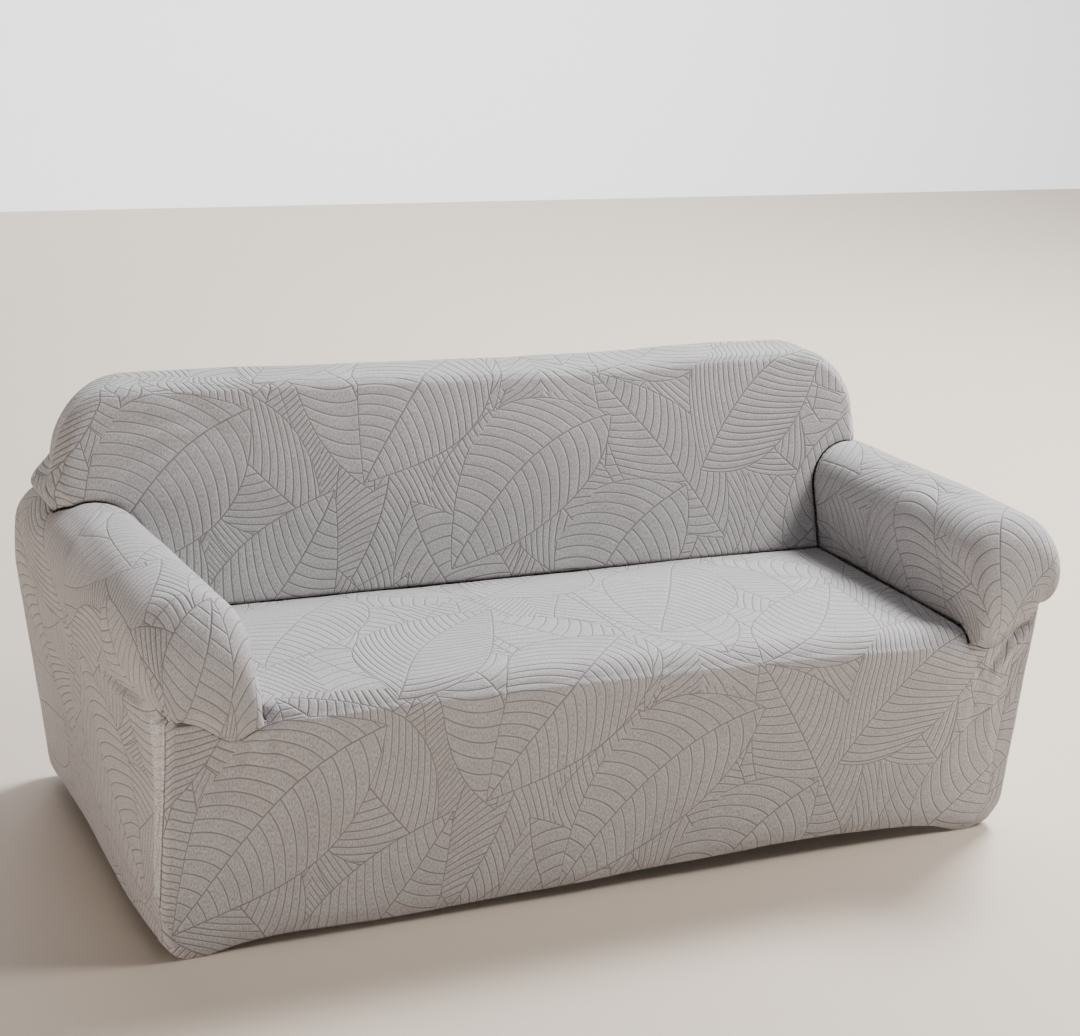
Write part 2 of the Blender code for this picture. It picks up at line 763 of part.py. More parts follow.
def rear_grid(arch_points, hem_spread):
    """The rear from its arch down to the hem, between the seams down its two corners."""
    seams = [rear_seam(side) for side in SIGN]
    way = np.cumsum(np.linalg.norm(np.diff(seams[0], axis=0), axis=1)) + REAR_FIRST_DROP
    drops = np.concatenate([[0.0], way / way[-1]])[:, None]
    across = (hem_spread + 1) / 2
    hem = lerp(seams[0][-1], seams[1][-1], across[:, None])
    x = lerp(arch_points[:, 0], hem[:, 0], drops)
    z = lerp(arch_points[:, 2], hem[:, 2], drops)
    points = stack(x, rear_y(z) - hem_tuck(z, hem[:, 2]), z)
    points[:, 0] = seams[0]
    points[:, -1] = seams[1]
    return points


def back_shares():
    """Places round the back's arch, from the foot of its left end (0) to that of its right (1)."""
    ends = np.array([0.0, LIP_SHARE, 0.019, 0.030])
    return np.concatenate([ends, steps(30, 0.045, 0.955), 1 - ends[::-1]])


def crease_spread(share):
    """How the places of the arch are spread along the crease and the rear hem, from -1 to 1."""
    x = front_edge_loop(share, EDGE_LOOPS["end"][0], EDGE_LOOPS["top"][0], 0.0)[:, 0]
    return lerp(2 * share - 1, x / abs(x[0]), CREASE_SPREAD)


def rear_top(share):
    """The arch where the round over the back ends and the rear starts."""
    feet = [roll_rear_turn(side, 0.0, 1.0) for side in SIGN]
    return fit_to_feet(rear_turn_loop(share, 1.0)[None], share, *feet)[0]


def back_panel():
    """Inside of the back and the band over its top and ends, in one piece."""
    share = back_shares()
    sides = tuple(SIGN)

    # inside face, from the seat crease up to the first arch
    edge = front_edge_loop(share, EDGE_LOOPS["end"][0], EDGE_LOOPS["top"][0], 0.0)
    spread = crease_spread(share)
    crease = stack(seat_x(np.clip(spread, -1, 1)), CREASE_Y, CREASE_Z)
    feet = []
    for side in sides:
        last = edge_foot_share(side, FOOT_ROUND)
        shares = np.concatenate([inner_shares(), steps(3, inner_shares()[-1], last)[1:]])
        feet.append(roll_straight(side, shares, 1.0))
        feet[-1][0] = (seat_edge_x(side), CREASE_Y, CREASE_Z)
    rises = steps(len(feet[0]) - 1)
    edge = fit_to_feet(edge[None], share, feet[0][-1:, None], feet[1][-1:, None])[0]
    face = blend_between(crease, edge, rises[:, None], feet[0], feet[1], share)
    swollen = face_y(face[..., 0], face[..., 2])
    face[..., 1] = lerp(swollen, face[..., 1], near_foot(share, 0.1) + near_foot(1 - share, 0.1))

    # arches over the front edge, along the band and round to the rear
    loops = []
    for k in range(1, len(EDGE_LOOPS["end"])):
        row = [EDGE_LOOPS[column][k] for column in ("end", "top", "behind")]
        foot = [roll_straight(side, edge_foot_share(side, row[0]), 1.0) for side in sides]
        loops.append((front_edge_loop(share, *row), foot))
    for along in BESIDES[1:]:
        foot = [roll_beside_back(side, 0.0, along) for side in sides]
        loops.append((band_loop(share, along), foot))
    for turn in TURNS[:-1]:
        foot = [roll_rear_turn(side, 0.0, turn) for side in sides]
        loops.append((rear_turn_loop(share, turn), foot))
    band = [fit_to_feet(row[None], share, foot[0], foot[1])[0] for row, foot in loops]
    grid = np.concatenate([face, np.stack(band), rear_top(share)[None]])
    return make_panel("back_panel", [raise_lip(grid, share)])


def rear_panel():
    """The rear, from the round over the back's top down to the hem."""
    share = back_shares()
    grid = rear_grid(rear_top(share), crease_spread(share))
    clear = near_foot(share, FOOT_CLEAR_REACH) - near_foot(1 - share, FOOT_CLEAR_REACH)
    grid[0] += stack(FOOT_CLEAR * clear, 0.0, 0.0)
    return make_panel("rear_panel", [grid])


def rear_seam(side):
    """The seam down the rear corner, from the foot of the back to the hem."""
    upper = roll_rear_turn(side, shares_beside_back(side), 1.0)
    corner = roll_beside_back(side, 1.0, 1.0)
    lower = side_rear_turn(side, upper[-1], corner, DROPS[1:], 1.0)
    return np.concatenate([upper, lower])


# Stations along the cloth, each as a share of its own stretch.
DROPS = np.array([0.0, 0.05, 0.13, 0.24, 0.38, 0.54, 0.70, 0.84, 0.94, 1.0])
RISES = np.array([0.0, 0.18, 0.30, 0.42, 0.55, 0.67, 0.76, 0.88, 1.0])
ALONGS = np.array([0.12, 0.27, 0.45, 0.63, 0.81, 0.93, 1.0])
BESIDES = np.array([0.0, 0.15, 0.40, 0.70, 1.0])
TURNS = np.array([0.40, 0.75, 1.0])


def build():
    for old in list(bpy.data.objects):
        bpy.data.objects.remove(old)
    seat_panel()
    arm_panel("left")
    arm_panel("right")
    back_panel()
    rear_panel()


build()
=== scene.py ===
from math import cos, pi, radians, sin

import bmesh
import bpy
import numpy as np
from mathutils import Matrix, Vector, noise
from mathutils.kdtree import KDTree


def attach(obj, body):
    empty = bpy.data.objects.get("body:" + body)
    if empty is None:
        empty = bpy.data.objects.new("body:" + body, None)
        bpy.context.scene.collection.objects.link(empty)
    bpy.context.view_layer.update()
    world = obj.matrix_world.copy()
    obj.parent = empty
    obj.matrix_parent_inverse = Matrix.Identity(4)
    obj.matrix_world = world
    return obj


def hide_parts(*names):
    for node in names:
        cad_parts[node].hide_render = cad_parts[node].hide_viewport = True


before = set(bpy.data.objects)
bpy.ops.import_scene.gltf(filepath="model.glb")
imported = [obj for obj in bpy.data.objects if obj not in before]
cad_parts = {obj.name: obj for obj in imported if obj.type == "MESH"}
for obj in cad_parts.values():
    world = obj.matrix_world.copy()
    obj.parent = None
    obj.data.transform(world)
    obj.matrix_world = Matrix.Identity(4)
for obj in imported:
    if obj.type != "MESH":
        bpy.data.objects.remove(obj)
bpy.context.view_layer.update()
bpy.ops.object.select_all(action="DESELECT")
print("frame loaded")

cloth = {
    "thick": 0.0024,  # of the cloth
    "middle": (0.0113, 0.3807, 0.0005),  # where the frame's origin lies
    "weld": 0.0002,  # points of one panel closer than this are one point
    "seamGap": 0.0003,  # how far each cut edge is drawn in
    "mitreLeast": 0.4,  # keeps a sharp corner from being drawn in too far
    "seamDip": 0.0008,  # how deep the cloth dips into a seam
    "seamReach": 0.006,
    "hemTop": 0.07,  # below this an edge is a hem, which does not dip
    "creaseDip": 0.0028,  # the dip where seat, arms and back meet, inside the next three bounds
    "creaseHalf": 0.86,
    "creaseFrontY": -0.37,
    "creaseLowZ": 0.395,
    "slowSize": 0.0022,  # the slow unevenness of the cloth
    "slowScale": 5.5,
    "rippleSize": 0.0007,
    "rippleScale": 21.0,
    "wander": 0.035,  # how far the pattern wanders from its flat place
    "wanderScale": 2.6,
}
# Half widths to each side of the middle: the seat, the roll's inner side, the front corner at the
# hem and under the roll, the roll's outermost line in front and at the rear, the rear hem, the
# back's front edge and how much narrower the back is at the rear.
halves = {
    "left": {
        "seat": 0.690,
        "rollInner": 0.704,
        "cornerHem": 0.848,
        "cornerTop": 0.853,
        "rollFront": 0.905,
        "rollRear": 0.889,
        "hemRear": 0.813,
        "back": 0.860,
        "backTaper": 0.036,
    },
    "right": {
        "seat": 0.711,
        "rollInner": 0.713,
        "cornerHem": 0.860,
        "cornerTop": 0.876,
        "rollFront": 0.927,
        "rollRear": 0.905,
        "hemRear": 0.824,
        "back": 0.850,
        "backTaper": 0.020,
    },
}
sign = {"left": -1, "right": 1}


def lerp(a, b, t):
    return a + (b - a) * t


def ease(t):
    t = np.clip(t, 0.0, 1.0)
    return t * t * (3.0 - 2.0 * t)


def through(xs, ys, x):
    # a smooth curve through the stations, level with the ends beyond them
    xs = np.asarray(xs, float)
    ys = np.asarray(ys, float)
    x = np.clip(x, xs[0], xs[-1])
    slope = np.gradient(ys, xs)
    i = np.clip(np.searchsorted(xs, x, side="right") - 1, 0, len(xs) - 2)
    step = xs[i + 1] - xs[i]
    t = (x - xs[i]) / step
    start = (1 + 2 * t) * (1 - t) ** 2 * ys[i] + t * (1 - t) ** 2 * step * slope[i]
    end = t * t * (3 - 2 * t) * ys[i + 1] + t * t * (t - 1) * step * slope[i + 1]
    return start + end


def stack(x, y, z):
    # one array of points from three of sizes that fit together
    x, y, z = np.broadcast_arrays(x, y, z)
    return np.stack([x, y, z], axis=-1).astype(float)


def steps(count, first=0.0, last=1.0):
    return np.linspace(first, last, count + 1)


def fine(stations, count):
    # puts more stations between those given
    places = np.linspace(0, len(stations) - 1, (len(stations) - 1) * count + 1)
    return np.interp(places, np.arange(len(stations)), stations)


def pathLength(points):
    gaps = np.linalg.norm(np.diff(points, axis=0), axis=-1)
    return np.concatenate([np.zeros((1,) + gaps.shape[1:]), np.cumsum(gaps, axis=0)])


def place(points):
    # to where the frame has the cover
    return points - np.array(cloth["middle"])


# Hems and front corners, which the seat panel and both arms share.
hemCut = {
    "tuckZ": 0.035,  # from this far above the hem the cloth curls in
    "tuck": 0.008,  # by this much at the hem
    "frontRun": 0.05,  # within this the front hem's height runs into the side's
}
# Height of the front hem: the cloth drops over the two front feet and is drawn up between them.
frontHem = {
    "x": (-0.848, -0.825, -0.79, -0.765, -0.73, -0.42, 0.05, 0.52, 0.70, 0.785, 0.83, 0.86),
    "z": (0.030, 0.010, 0.000, 0.002, 0.009, 0.015, 0.026, 0.032, 0.018, 0.000, 0.014, 0.026),
}
# Height of each side hem, by distance behind the front.
sideHem = {
    "y": (0.00, 0.08, 0.15, 0.34, 0.58, 0.82),
    "left": (0.030, 0.026, 0.022, 0.021, 0.027, 0.023),
    "right": (0.030, 0.034, 0.032, 0.028, 0.020, 0.023),
}
# The two upright front corners, rounder near the feet.
cornerCut = {
    "topZ": 0.44,
    "radius": 0.015,
    "footRadius": 0.045,
    "footZ": 0.07,
}


def hemZ(side, x, y):
    front = through(frontHem["x"], frontHem["z"], sign[side] * x)
    beside = through(sideHem["y"], sideHem[side], y)
    return lerp(front, beside, ease(y / hemCut["frontRun"]))


def hemTuck(z, hem):
    return hemCut["tuck"] * (1 - np.clip((z - hem) / hemCut["tuckZ"], 0, 1)) ** 2


def cornerHalf(side, z):
    half = halves[side]
    return lerp(half["cornerHem"], half["cornerTop"], np.clip(z / cornerCut["topZ"], 0, 1.2))


def cornerRadius(z):
    return lerp(cornerCut["footRadius"], cornerCut["radius"], ease(z / cornerCut["footZ"]))


def cornerPlan(side, way, z):
    # seen from above: way runs from the seat corner (0) to the front corner (1) and round it (2)
    radius = cornerRadius(z)
    half = cornerHalf(side, z)
    turn = np.clip(way - 1, 0, 1) * pi / 2
    x = lerp(halves[side]["seat"], half - radius, np.clip(way, 0, 1)) + radius * np.sin(turn)
    yTurn = radius * (1 - np.cos(turn))
    return x, yTurn


# The seat, its front edge and the skirt below it.
seatCut = {
    "leftZ": 0.448,  # height of the seat's left and right edges
    "rightZ": 0.429,
    "crown": 0.014,  # how much higher the middle is
    "crownRun": 0.16,  # over this the crown fades out towards the back
    "fallY": 0.30,  # from here the seat runs down to the crease at the back
    "crestRadius": 0.055,  # round of the seat's front edge
    "crestAngle": radians(55),
    "lean": 0.042,  # how far the front stands out over its hem at the height leanZ
    "leanZ": 0.40,
    "cornerLean": 0.35,  # share of that lean at the front corners
    "cornerX": 0.60,  # it lessens from here
    "cornerRun": 0.25,
    "crestFade": 0.5,  # the crest's round fades out on this share of the way under the roll
}
# The seam under each roll's front, from the seat corner (0) past the front corner (1 to 2):
# how far it lies below or above the seat corner.
underSeam = {
    "way": (0.0, 0.35, 0.80, 1.10, 1.60, 2.0),
    "left": (0.0, -0.030, 0.004, 0.010, 0.026, 0.034),
    "right": (0.0, -0.018, 0.016, 0.050, 0.058, 0.056),
}
# Where the front's side seams meet the rolls, as a share of the way round the roll.
frontSeamShare = {"left": 1.0, "right": 0.475}


def seatX(xShare):
    # the share runs from -1 at the left edge to 1 at the right
    return lerp(-halves["left"]["seat"], halves["right"]["seat"], (xShare + 1) / 2)


def seatShare(x):
    width = halves["left"]["seat"] + halves["right"]["seat"]
    return np.clip(2 * (x + halves["left"]["seat"]) / width - 1, -1, 1)


def seatEdgeX(side):
    return sign[side] * halves[side]["seat"]


def seatSideZ(x):
    return lerp(seatCut["leftZ"], seatCut["rightZ"], (seatShare(x) + 1) / 2)


def seatZ(x, y):
    across = 1 - np.abs(seatShare(x)) ** 3
    along = ease((backCut["creaseY"] - y) / seatCut["crownRun"])
    back = ease((y - seatCut["fallY"]) / (backCut["creaseY"] - seatCut["fallY"]))
    edge = lerp(seatSideZ(x), backCut["creaseZ"], back)
    return edge + seatCut["crown"] * across * along


def frontY(x, z):
    lean = seatCut["lean"] * ease(0.5 * z / seatCut["leanZ"]) * 2
    flank = ease((np.abs(x) - seatCut["cornerX"]) / seatCut["cornerRun"])
    return -lean * lerp(1.0, seatCut["cornerLean"], flank)


def crestStart(x):
    # where the seat begins to turn down, and the height of that round's centre
    z = seatZ(x, 0.0)
    return frontY(x, z - seatCut["crestRadius"]) + seatCut["crestRadius"], z - seatCut["crestRadius"]


def crest(x, angle):
    y, z = crestStart(x)
    return y - seatCut["crestRadius"] * np.sin(angle), z + seatCut["crestRadius"] * np.cos(angle)


def seatCornerZ(side):
    return crest(seatEdgeX(side), seatCut["crestAngle"])[1]


def belowCrestY(x, z, fade):
    yStart, zCentre = crestStart(x)
    above = np.clip((z - zCentre) / seatCut["crestRadius"], 0.0, 0.95)
    return frontY(x, z) + seatCut["crestRadius"] * (1 - np.sqrt(1 - above**2)) * fade


def underSeamZ(side, way):
    return seatCornerZ(side) + through(underSeam["way"], underSeam[side], way)


def frontFlap(side, way, drop):
    # the skirt under a roll's front, from the seam under the roll (0) down to the hem (1)
    top = underSeamZ(side, way)
    xGuess, yGuess = cornerPlan(side, way, 0.0)
    hem = hemZ(side, xGuess, yGuess + frontY(xGuess, 0.0))
    z = lerp(top, hem, drop)
    x, yTurn = cornerPlan(side, way, z)
    fade = 1 - ease(way / seatCut["crestFade"])
    y = belowCrestY(sign[side] * x, z, fade) + yTurn
    tuck = hemTuck(z, hem)
    turned = np.clip(way - 1, 0, 1)
    x = x - tuck * turned
    y = y + tuck * (1 - turned)
    return stack(sign[side] * x, y, z)


def seatTop(xShare, backShare):
    x = seatX(xShare)
    yStart = crestStart(x)[0]
    y = lerp(yStart, backCut["creaseY"], backShare)
    return stack(x, y, seatZ(x, y))


def seatCrest(xShare, angle):
    x = seatX(xShare)
    y, z = crest(x, angle)
    return stack(x, y, z)


def frontMiddle(xShare, drop):
    x = seatX(xShare)
    top = crest(x, seatCut["crestAngle"])[1]
    hem = through(frontHem["x"], frontHem["z"], x)
    z = lerp(top, hem, drop)
    y = belowCrestY(x, z, 1.0) + hemTuck(z, hem)
    return stack(x, y, z)


# The rolls of the arms and the sides below them.
armCut = {
    "z": 0.535,  # height of the roll's middle
    "below": 0.104,  # the roll's radius below its middle
    "underAngle": radians(48),  # how far the roll turns in below its outermost line
    "innerShare": 0.20,  # share of the way round the roll that rises straight from the seat
    "underSpread": 0.028,  # how far the cloth under the roll stands out behind the notch
    "underPower": 1.9,
    "notchY": 0.03,
    "notchLength": 0.22,
    "length": 0.75,
    "frontDepth": 0.070,  # how far the rounded front reaches back
    "frontBulge": 0.026,
    "frontPower": 2.5,  # above 2 the round is fuller than a circle's
    "seamReach": 0.25,  # share of the roll over which its front follows the seat's edge
    "leanRun": 0.5,  # how far back the side follows the front's lean
    "flatY": 0.30,  # the roll is unrolled by its section here
}
# Height of each roll's ridge.
rollRidge = {
    "y": (0.00, 0.22, 0.45, 0.75),
    "left": (0.633, 0.631, 0.623, 0.615),
    "right": (0.630, 0.634, 0.628, 0.619),
}


def armCreaseZ(side, y):
    x = seatEdgeX(side)
    yStart, zCentre = crestStart(x)
    over = np.clip((yStart - y) / seatCut["crestRadius"], 0.0, 0.98)
    crestZ = zCentre + seatCut["crestRadius"] * np.sqrt(1 - over**2)
    return np.where(y < yStart, crestZ, seatZ(x, y))


def rollHalf(side, y):
    half = halves[side]
    return lerp(half["rollFront"], half["rollRear"], ease(y / armCut["length"]))


def rollMiddle(side, y):
    # the middle of the roll's section across the sofa, and its radius that way
    inner = halves[side]["rollInner"]
    return (rollHalf(side, y) + inner) / 2, (rollHalf(side, y) - inner) / 2


def sideHalfAt(side, y, z):
    half = halves[side]
    front = cornerHalf(side, z)
    hem = lerp(half["cornerHem"], half["hemRear"], ease(y / armCut["length"]))
    stretched = lerp(hem, rollHalf(side, y), np.clip(z / armCut["z"], 0, 1))
    return lerp(front, stretched, ease(y / armCut["notchLength"]))


def rollSection(side, share, y):
    # the share runs from the seat (0) over the roll to the seam under it (1)
    up = np.clip(share / armCut["innerShare"], 0, 1)
    turn = np.clip((share - armCut["innerShare"]) / (1 - armCut["innerShare"]), 0, 1)
    angle = lerp(pi, -armCut["underAngle"], turn)
    ridge = through(rollRidge["y"], rollRidge[side], y)
    radiusZ = np.where(angle > 0, ridge - armCut["z"], armCut["below"])
    middle, radiusX = rollMiddle(side, y)
    x = middle + radiusX * np.cos(angle)
    z = armCut["z"] + radiusZ * np.sin(angle)
    under = np.clip(-angle / armCut["underAngle"], 0, 1) ** armCut["underPower"]
    spread = armCut["underSpread"] * ease((y - armCut["notchY"]) / armCut["notchLength"])
    x = x + under * spread
    inner = share < armCut["innerShare"]
    x = np.where(inner, lerp(halves[side]["seat"], middle - radiusX, up), x)
    z = np.where(inner, lerp(armCreaseZ(side, y), armCut["z"], up), z)
    return x, z


def shareAtX(side, x, y):
    # how far round the roll's upper half x lies
    middle, radiusX = rollMiddle(side, y)
    angle = np.arccos(np.clip((x - middle) / radiusX, -1, 1))
    turn = (pi - angle) / (pi + armCut["underAngle"])
    return armCut["innerShare"] + turn * (1 - armCut["innerShare"])


def frontWay(side, share):
    # which way along the seam under the front belongs to a share of the roll
    return np.interp(share, (0.0, footShareOf[side], 1.0), (0.0, 1.0, 2.0))


def rollFrontStart(side, share):
    return frontFlap(side, frontWay(side, share), 0.0)


def rollFront(side, share, rise):
    # the rounded front, from its seam (0) to where the roll runs straight (1)
    start = rollFrontStart(side, share)
    angle = rise * pi / 2
    grow = np.sin(angle) ** (2 / armCut["frontPower"])
    back = 1 - np.cos(angle) ** (2 / armCut["frontPower"])
    plump = np.sqrt(np.clip(np.sin(pi * share), 0, 1))
    bulge = armCut["frontBulge"] * plump * 4 * grow * (1 - grow)
    y = start[..., 1] + armCut["frontDepth"] * back - bulge
    yEnd = start[..., 1] + armCut["frontDepth"]
    xEnd, zEnd = rollSection(side, share, yEnd)
    x = lerp(np.abs(start[..., 0]), xEnd, grow)
    z = lerp(start[..., 2], zEnd, grow)
    yCorner = crest(seatEdgeX(side), seatCut["crestAngle"])[0]
    seatEdge = lerp(seatCornerZ(side), armCreaseZ(side, yCorner + armCut["frontDepth"]), grow)
    alongSeat = armCreaseZ(side, yCorner + y - start[..., 1]) - seatEdge
    z = z + alongSeat * np.clip(1 - share / armCut["seamReach"], 0, 1) ** 2
    return stack(sign[side] * x, y, z)


def rollStraight(side, share, along):
    # from the rounded front (0) to the back's face (1)
    yStart = rollFrontStart(side, share)[..., 1] + armCut["frontDepth"]
    y = lerp(yStart, rollStopY(side, share), along)
    x, z = rollSection(side, share, y)
    return stack(sign[side] * x, y, z)


def sidePanel(side, top, drop):
    # the outer side, from the points under the roll (0) down to the hem (1)
    yTop = top[..., 1]
    zTop = top[..., 2]
    hem = through(sideHem["y"], sideHem[side], yTop)
    z = lerp(zTop, hem, drop)
    xCorner = halves[side]["cornerTop"]
    yFirst = cornerPlan(side, 2.0, zTop)[1] + frontY(xCorner, zTop)
    yFirstHere = cornerPlan(side, 2.0, z)[1] + frontY(xCorner, z)
    y = yTop + (yFirstHere - yFirst) * (1 - ease(yTop / armCut["leanRun"]))
    slack = np.abs(top[..., 0]) - sideHalfAt(side, yTop, zTop)
    x = sideHalfAt(side, y, z) + slack * (1 - drop)
    x = x - hemTuck(z, hem)
    return stack(sign[side] * x, y, z)


# The back, with its band over the top and the ends.
backCut = {
    "creaseY": 0.500,  # where the seat ends and the back's face starts
    "creaseZ": 0.428,
    "slope": 0.43,  # how far the face leans back for each metre up
    "bulge": 0.012,
    "topZ": 0.806,
    "frontEdgeZ": 0.800,
    "rearYTop": 0.778,
    "rearYHem": 0.806,
    "rearRadius": 0.034,  # round from the band and the sides to the rear
    "taperY": 0.62,  # the back grows narrower from here to the rear
    "taperRun": 0.13,
    "footZ": 0.63,  # height at which the back's ends stand on the rolls
    "footStartY": 0.60,
    "footRound": 0.020,  # round of the face's edge at its foot
    "footRoundRun": 0.030,
    "footRoundLead": 0.010,
    "unroundShare": 0.3,  # up to here on the roll the foot is not rounded
    "footBlend": 4.0,  # how fast the roll behind the face comes to follow the back's taper
    "footReach": 0.12,  # share of an arch over which its ends are drawn to its feet
    "faceReach": 0.30,  # the same for the face
    "swellReach": 0.10,
    "creaseSpread": 0.35,  # 0 spaces the upright lines evenly on the crease, 1 as on the arch
    "footClear": 0.002,  # keeps the rear's top corners clear of the rolls
    "footClearReach": 0.05,
    "sagFootZ": 0.68,  # the top line's dips begin at this height
    "sagRise": 0.10,
    "firstDrop": 0.025,  # how far the rear's first row of points lies below its top
}
backCornerRadius = {"left": 0.140, "right": 0.115}  # round of the back's top corners
# Height of the back's top edge, against its full height.
topLine = {
    "x": (-0.86, -0.60, -0.20, 0.30, 0.50, 0.86),
    "z": (0.000, 0.000, -0.006, -0.009, -0.002, -0.004),
}
# The arches that turn the back's front edge: inset at the ends and the top, and the way behind.
edgeLoops = {
    "end": (0.020, 0.006, 0.0),
    "top": (0.012, 0.0035, 0.0),
    "behind": (0.0, 0.007, 0.020),
}
# Where the back's foot stands on each roll, as a share of the way round it.
footShareOf = {
    side: float(shareAtX(side, halves[side]["back"], backCut["footStartY"]))
    for side in sign
}


def faceY(x, z):
    # the back's face, swelling a little in the middle
    height = np.clip((z - backCut["creaseZ"]) / (backCut["topZ"] - backCut["creaseZ"]), 0, 1)
    across = 1 - np.abs(np.clip(x / halves["left"]["back"], -1, 1)) ** 4
    swell = backCut["bulge"] * np.sin(pi * height) * across
    return backCut["creaseY"] + backCut["slope"] * (z - backCut["creaseZ"]) - swell


def backHalf(side, y):
    taper = halves[side]["backTaper"] * np.clip((y - backCut["taperY"]) / backCut["taperRun"], 0, 1)
    return halves[side]["back"] - taper


def rearY(z):
    return lerp(backCut["rearYHem"], backCut["rearYTop"], np.clip(z / backCut["topZ"], 0, 1))


def rollStopY(side, share):
    # where the roll meets the back's face
    x, z = rollSection(side, share, backCut["footStartY"])
    run = backCut["footRoundRun"]
    past = x - halves[side]["back"] + backCut["footRound"] + backCut["footRoundLead"]
    return faceY(x, z) + run * ease(past / run) * (share > backCut["unroundShare"])


def footShare(side, y):
    return shareAtX(side, backHalf(side, y), y)


def rollBesideBack(side, across, along):
    # the part of the roll outside the back's end, on to where it turns round to the rear
    shareStart = lerp(footShareOf[side], 1.0, across)
    yStart = rollStopY(side, shareStart)
    y = lerp(yStart, backCut["rearYTop"] - backCut["rearRadius"], along)
    share = lerp(footShare(side, y), 1.0, across)
    share = lerp(shareStart, share, ease(along * backCut["footBlend"]))
    x, z = rollSection(side, share, y)
    return stack(sign[side] * x, y, z)


def rollRearTurn(side, across, turn):
    # the roll's end, from beside the back (0) to the rear (1)
    yStart = backCut["rearYTop"] - backCut["rearRadius"]
    share = lerp(footShare(side, yStart), 1.0, across)
    x, z = rollSection(side, share, yStart)
    middle, radiusX = rollMiddle(side, yStart)
    outX = (x - middle) / radiusX
    outZ = (z - armCut["z"]) / armCut["below"]
    length = np.sqrt(outX**2 + outZ**2)
    shrink = backCut["rearRadius"] * (1 - np.cos(turn * pi / 2))
    y = yStart + (rearY(z) - yStart) * np.sin(turn * pi / 2)
    x = x - shrink * outX / length
    z = z - shrink * outZ / length * np.clip(outZ, 0, 1)
    return stack(sign[side] * x, y, z)


def sideRearTurn(side, top, topStart, drop, turn):
    # the outer side's turn to the rear, hanging from the end of the roll
    flat = sidePanel(side, topStart, drop)
    z = flat[..., 2]
    yStart = flat[..., 1]
    shrink = backCut["rearRadius"] * (1 - np.cos(turn * pi / 2))
    yRear = rearY(z) - hemTuck(z, through(sideHem["y"], sideHem[side], yStart))
    y = yStart + (yRear - yStart) * np.sin(turn * pi / 2)
    x = np.abs(flat[..., 0]) - shrink
    x = x + (np.abs(top[..., 0]) - (np.abs(topStart[..., 0]) - shrink)) * (1 - ease(drop * 2))
    return stack(sign[side] * x, y, z)


def arch(share, endsHalf, radius, top, footZ):
    # up the left end, round its corner, over the top and down the right end
    ends = [top - radius[k] - footZ for k in range(2)]
    turns = [radius[k] * pi / 2 for k in range(2)]
    middle = endsHalf[0] + endsHalf[1] - radius[0] - radius[1]
    lengths = np.array([ends[0], turns[0], middle, turns[1], ends[1]])
    marks = np.concatenate([[0.0], np.cumsum(lengths) / lengths.sum()])
    part = [np.clip((share - marks[k]) / (marks[k + 1] - marks[k]), 0, 1) for k in range(5)]
    x = -endsHalf[0] + radius[0] * (1 - np.cos(part[1] * pi / 2))
    x = x + middle * part[2] + radius[1] * np.sin(part[3] * pi / 2)
    z = footZ + ends[0] * part[0] + radius[0] * np.sin(part[1] * pi / 2)
    z = z + (radius[1] + ends[1] - radius[0] - ends[0]) * part[2]
    z = z - radius[1] * (1 - np.cos(part[3] * pi / 2)) - ends[1] * part[4]
    return x, z


def nearFoot(share, reach):
    return np.clip(1 - share / reach, 0, 1) ** 2


def fitToFeet(points, share, left, right, reach=backCut["footReach"]):
    # draws both ends of each row to the places given
    fromLeft = (left - points[:, :1]) * nearFoot(share, reach)[..., None]
    fromRight = (right - points[:, -1:]) * nearFoot(1 - share, reach)[..., None]
    return points + fromLeft + fromRight


def archLoop(share, endInset, topInset, top, along=0.0):
    half = [halves[side]["back"] - halves[side]["backTaper"] * along - endInset for side in sign]
    radius = [backCornerRadius[side] - topInset for side in sign]
    return arch(share, half, radius, top - topInset, backCut["footZ"])


def topSag(x, z):
    sag = through(topLine["x"], topLine["z"], x)
    return sag * ease((z - backCut["sagFootZ"]) / backCut["sagRise"])


def frontEdgeLoop(share, endInset, topInset, behind):
    # an arch round the front edge of the back
    x, z = archLoop(share, endInset, topInset, backCut["frontEdgeZ"])
    z = z + topSag(x, z)
    return stack(x, faceY(x, z) + behind, z)


def bandLoop(share, along):
    # an arch of the band, from the front edge (0) to the rear's round (1)
    first = frontEdgeLoop(share, 0.0, 0.0, edgeLoops["behind"][-1])
    y = lerp(first[..., 1], backCut["rearYTop"] - backCut["rearRadius"], along)
    top = lerp(backCut["frontEdgeZ"], backCut["topZ"], ease(along))
    x, z = archLoop(share, 0.0, 0.0, top, along)
    return stack(x, y, z + topSag(x, z))


def rearTurnLoop(share, turn):
    shrink = backCut["rearRadius"] * (1 - np.cos(turn * pi / 2))
    x, z = archLoop(share, shrink, shrink, backCut["topZ"], 1.0)
    z = z + topSag(x, z)
    yStart = backCut["rearYTop"] - backCut["rearRadius"]
    return stack(x, yStart + (rearY(z) - yStart) * np.sin(turn * pi / 2), z)


def edgeFootShare(side, inset):
    # where an arch so far inside the back's end stands on the roll
    return float(shareAtX(side, halves[side]["back"] - inset, backCut["footStartY"]))


# The loose fold of the back's cloth that hangs out over the left arm.
lipCut = {
    "out": 0.036,
    "up": 0.001,
    "y": 0.690,  # it hangs out most here, and less within its span to each side
    "span": 0.075,
    "startX": 0.80,
    "endY": 0.76,
    "fade": 0.03,
    "share": 0.010,  # share of the arch, from its foot, at which it is fullest
    "heightShare": 0.020,
}


